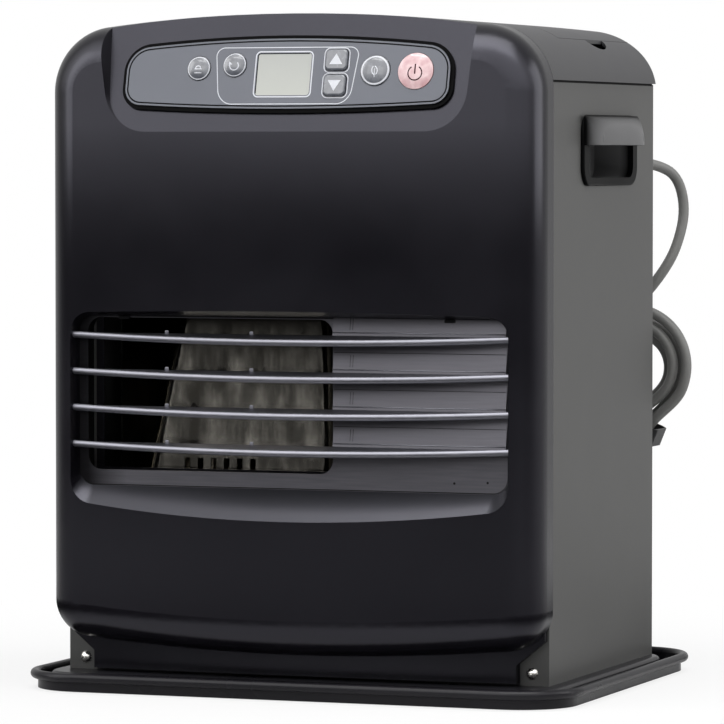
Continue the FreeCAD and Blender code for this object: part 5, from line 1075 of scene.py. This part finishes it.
def band(path, low, high, thick):
    """Grid of a square section carried round a closed plan path: the path itself, and the path drawn in."""
    ahead = np.roll(path, -1, axis=0) - np.roll(path, 1, axis=0)
    inward = np.stack([-ahead[:, 1], ahead[:, 0]], axis=-1)
    inward = inward / np.linalg.norm(inward, axis=1, keepdims=True) * thick
    flat = np.stack([path, path, path + inward, path + inward], axis=1)
    up = np.broadcast_to(np.array([low, high, high, low])[None, :, None], flat.shape[:2] + (1,))
    return np.concatenate([flat, up], axis=-1) * MM


def cover_band(name, half, front, back, low, high, thick):
    """A dark band round the cabinet under the cover, from its half width, its two ends and its height."""
    plan = rounded(half, half, front, back, GAP_BAND_CORNER, GAP_BAND_CORNER)
    closed = {"close_u": True, "close_v": True, "smooth": False}
    laid(name, band(plan, low, high, thick), shade_and_black, "black_moulding", **closed)


# Both bands are painted shade: dark strips that stand in for the shade in the gap under the cover.
cover_band("cover_gap_shade", GAP_BAND_HALF, GAP_BAND_FRONT, GAP_BAND_BACK, GAP_BAND_LOW, GAP_BAND_HIGH, GAP_BAND_THICK)
cover_band("cover_shadow", SHADOW_HALF, SHADOW_FRONT, SHADOW_BACK, SHADOW_LOW, GAP_BAND_LOW, SHADOW_THICK)
print("gasket", GAP_BAND_HIGH - GAP_BAND_LOW, "mm tall")

# %% [markdown]
# Side grips: the hoods
#
# The hood over each finger pocket swells out of its flange without a step, fullest along its lip and fading
# to nothing at the flange's top and ends. That is a quarter ellipse in height times a superellipse in
# length, so it is one formula, laid close over the plain hood of the engineering model. Its back runs
# inside that hood's wall, which closes it and leaves the hollow for the fingers open.

# %% Side grips: the hoods
GRIP_FACE, GRIP_PLATE = 162.2, 2.4
HOOD_FRONT, HOOD_BACK = -45.4, 66.4
HOOD_LIP, HOOD_TOP = 347.0, 365.6
HOOD_REACH = 11.0
HOOD_WALL = 1.6
HOOD_SQUARE = 2.6
HOOD_ROWS = 25
HOOD_CREASE = math.radians(50.0)
BACKING_OUT = np.array((9.9, 9.3, 8.2, 6.9, 5.0, 2.6))
BACKING_UP = np.array((348.6, 352.0, 355.5, 358.0, 360.3, 362.0))
BACKING_INSET = 0.4
LIP_DROP = 0.3


def hood_skin(side):
    """Grid of one hood: rows go over it from top to lip and back up inside, columns run from front to back.

    How far it stands out is a quarter ellipse of the height times a superellipse of the length.
    """
    down = np.sin(np.linspace(0, math.pi / 2, HOOD_ROWS))
    lip = [HOOD_LIP - LIP_DROP, HOOD_LIP]
    height = np.concatenate([HOOD_TOP + (HOOD_LIP - HOOD_TOP) * down, lip, BACKING_UP])
    along = -np.cos(np.linspace(0, math.pi, 65))
    upper = np.clip((height - HOOD_LIP) / (HOOD_TOP - HOOD_LIP), 0, 1)
    length = (1 - np.abs(along) ** HOOD_SQUARE) ** (1 / HOOD_SQUARE)
    swell = np.sqrt(1 - upper**2)[:, None] * length
    backing_inset = np.full(len(BACKING_UP), BACKING_INSET)
    inset = np.concatenate([np.zeros(HOOD_ROWS), [HOOD_WALL / 2, HOOD_WALL], backing_inset])
    limit = np.concatenate([np.full(HOOD_ROWS + len(lip), np.inf), BACKING_OUT])
    out = np.minimum(GRIP_PLATE + HOOD_REACH * swell - inset[:, None], limit[:, None])
    back = (HOOD_FRONT + HOOD_BACK) / 2 + along * (HOOD_BACK - HOOD_FRONT) / 2
    across, back, height = np.broadcast_arrays(GRIP_FACE + out, back[None], height[:, None])
    skin = np.stack([across, back, height], axis=-1) * MM
    return skin if side == "right" else skin[:, ::-1] * (-1, 1, 1)


for side in ("left", "right"):
    hood = laid(f"grip_hood_{side}", hood_skin(side), grip_satin, "black_moulding", close_u=True)
    hood.data.set_sharp_from_angle(angle=HOOD_CREASE)
print("hoods stand out", GRIP_PLATE + HOOD_REACH, "mm")
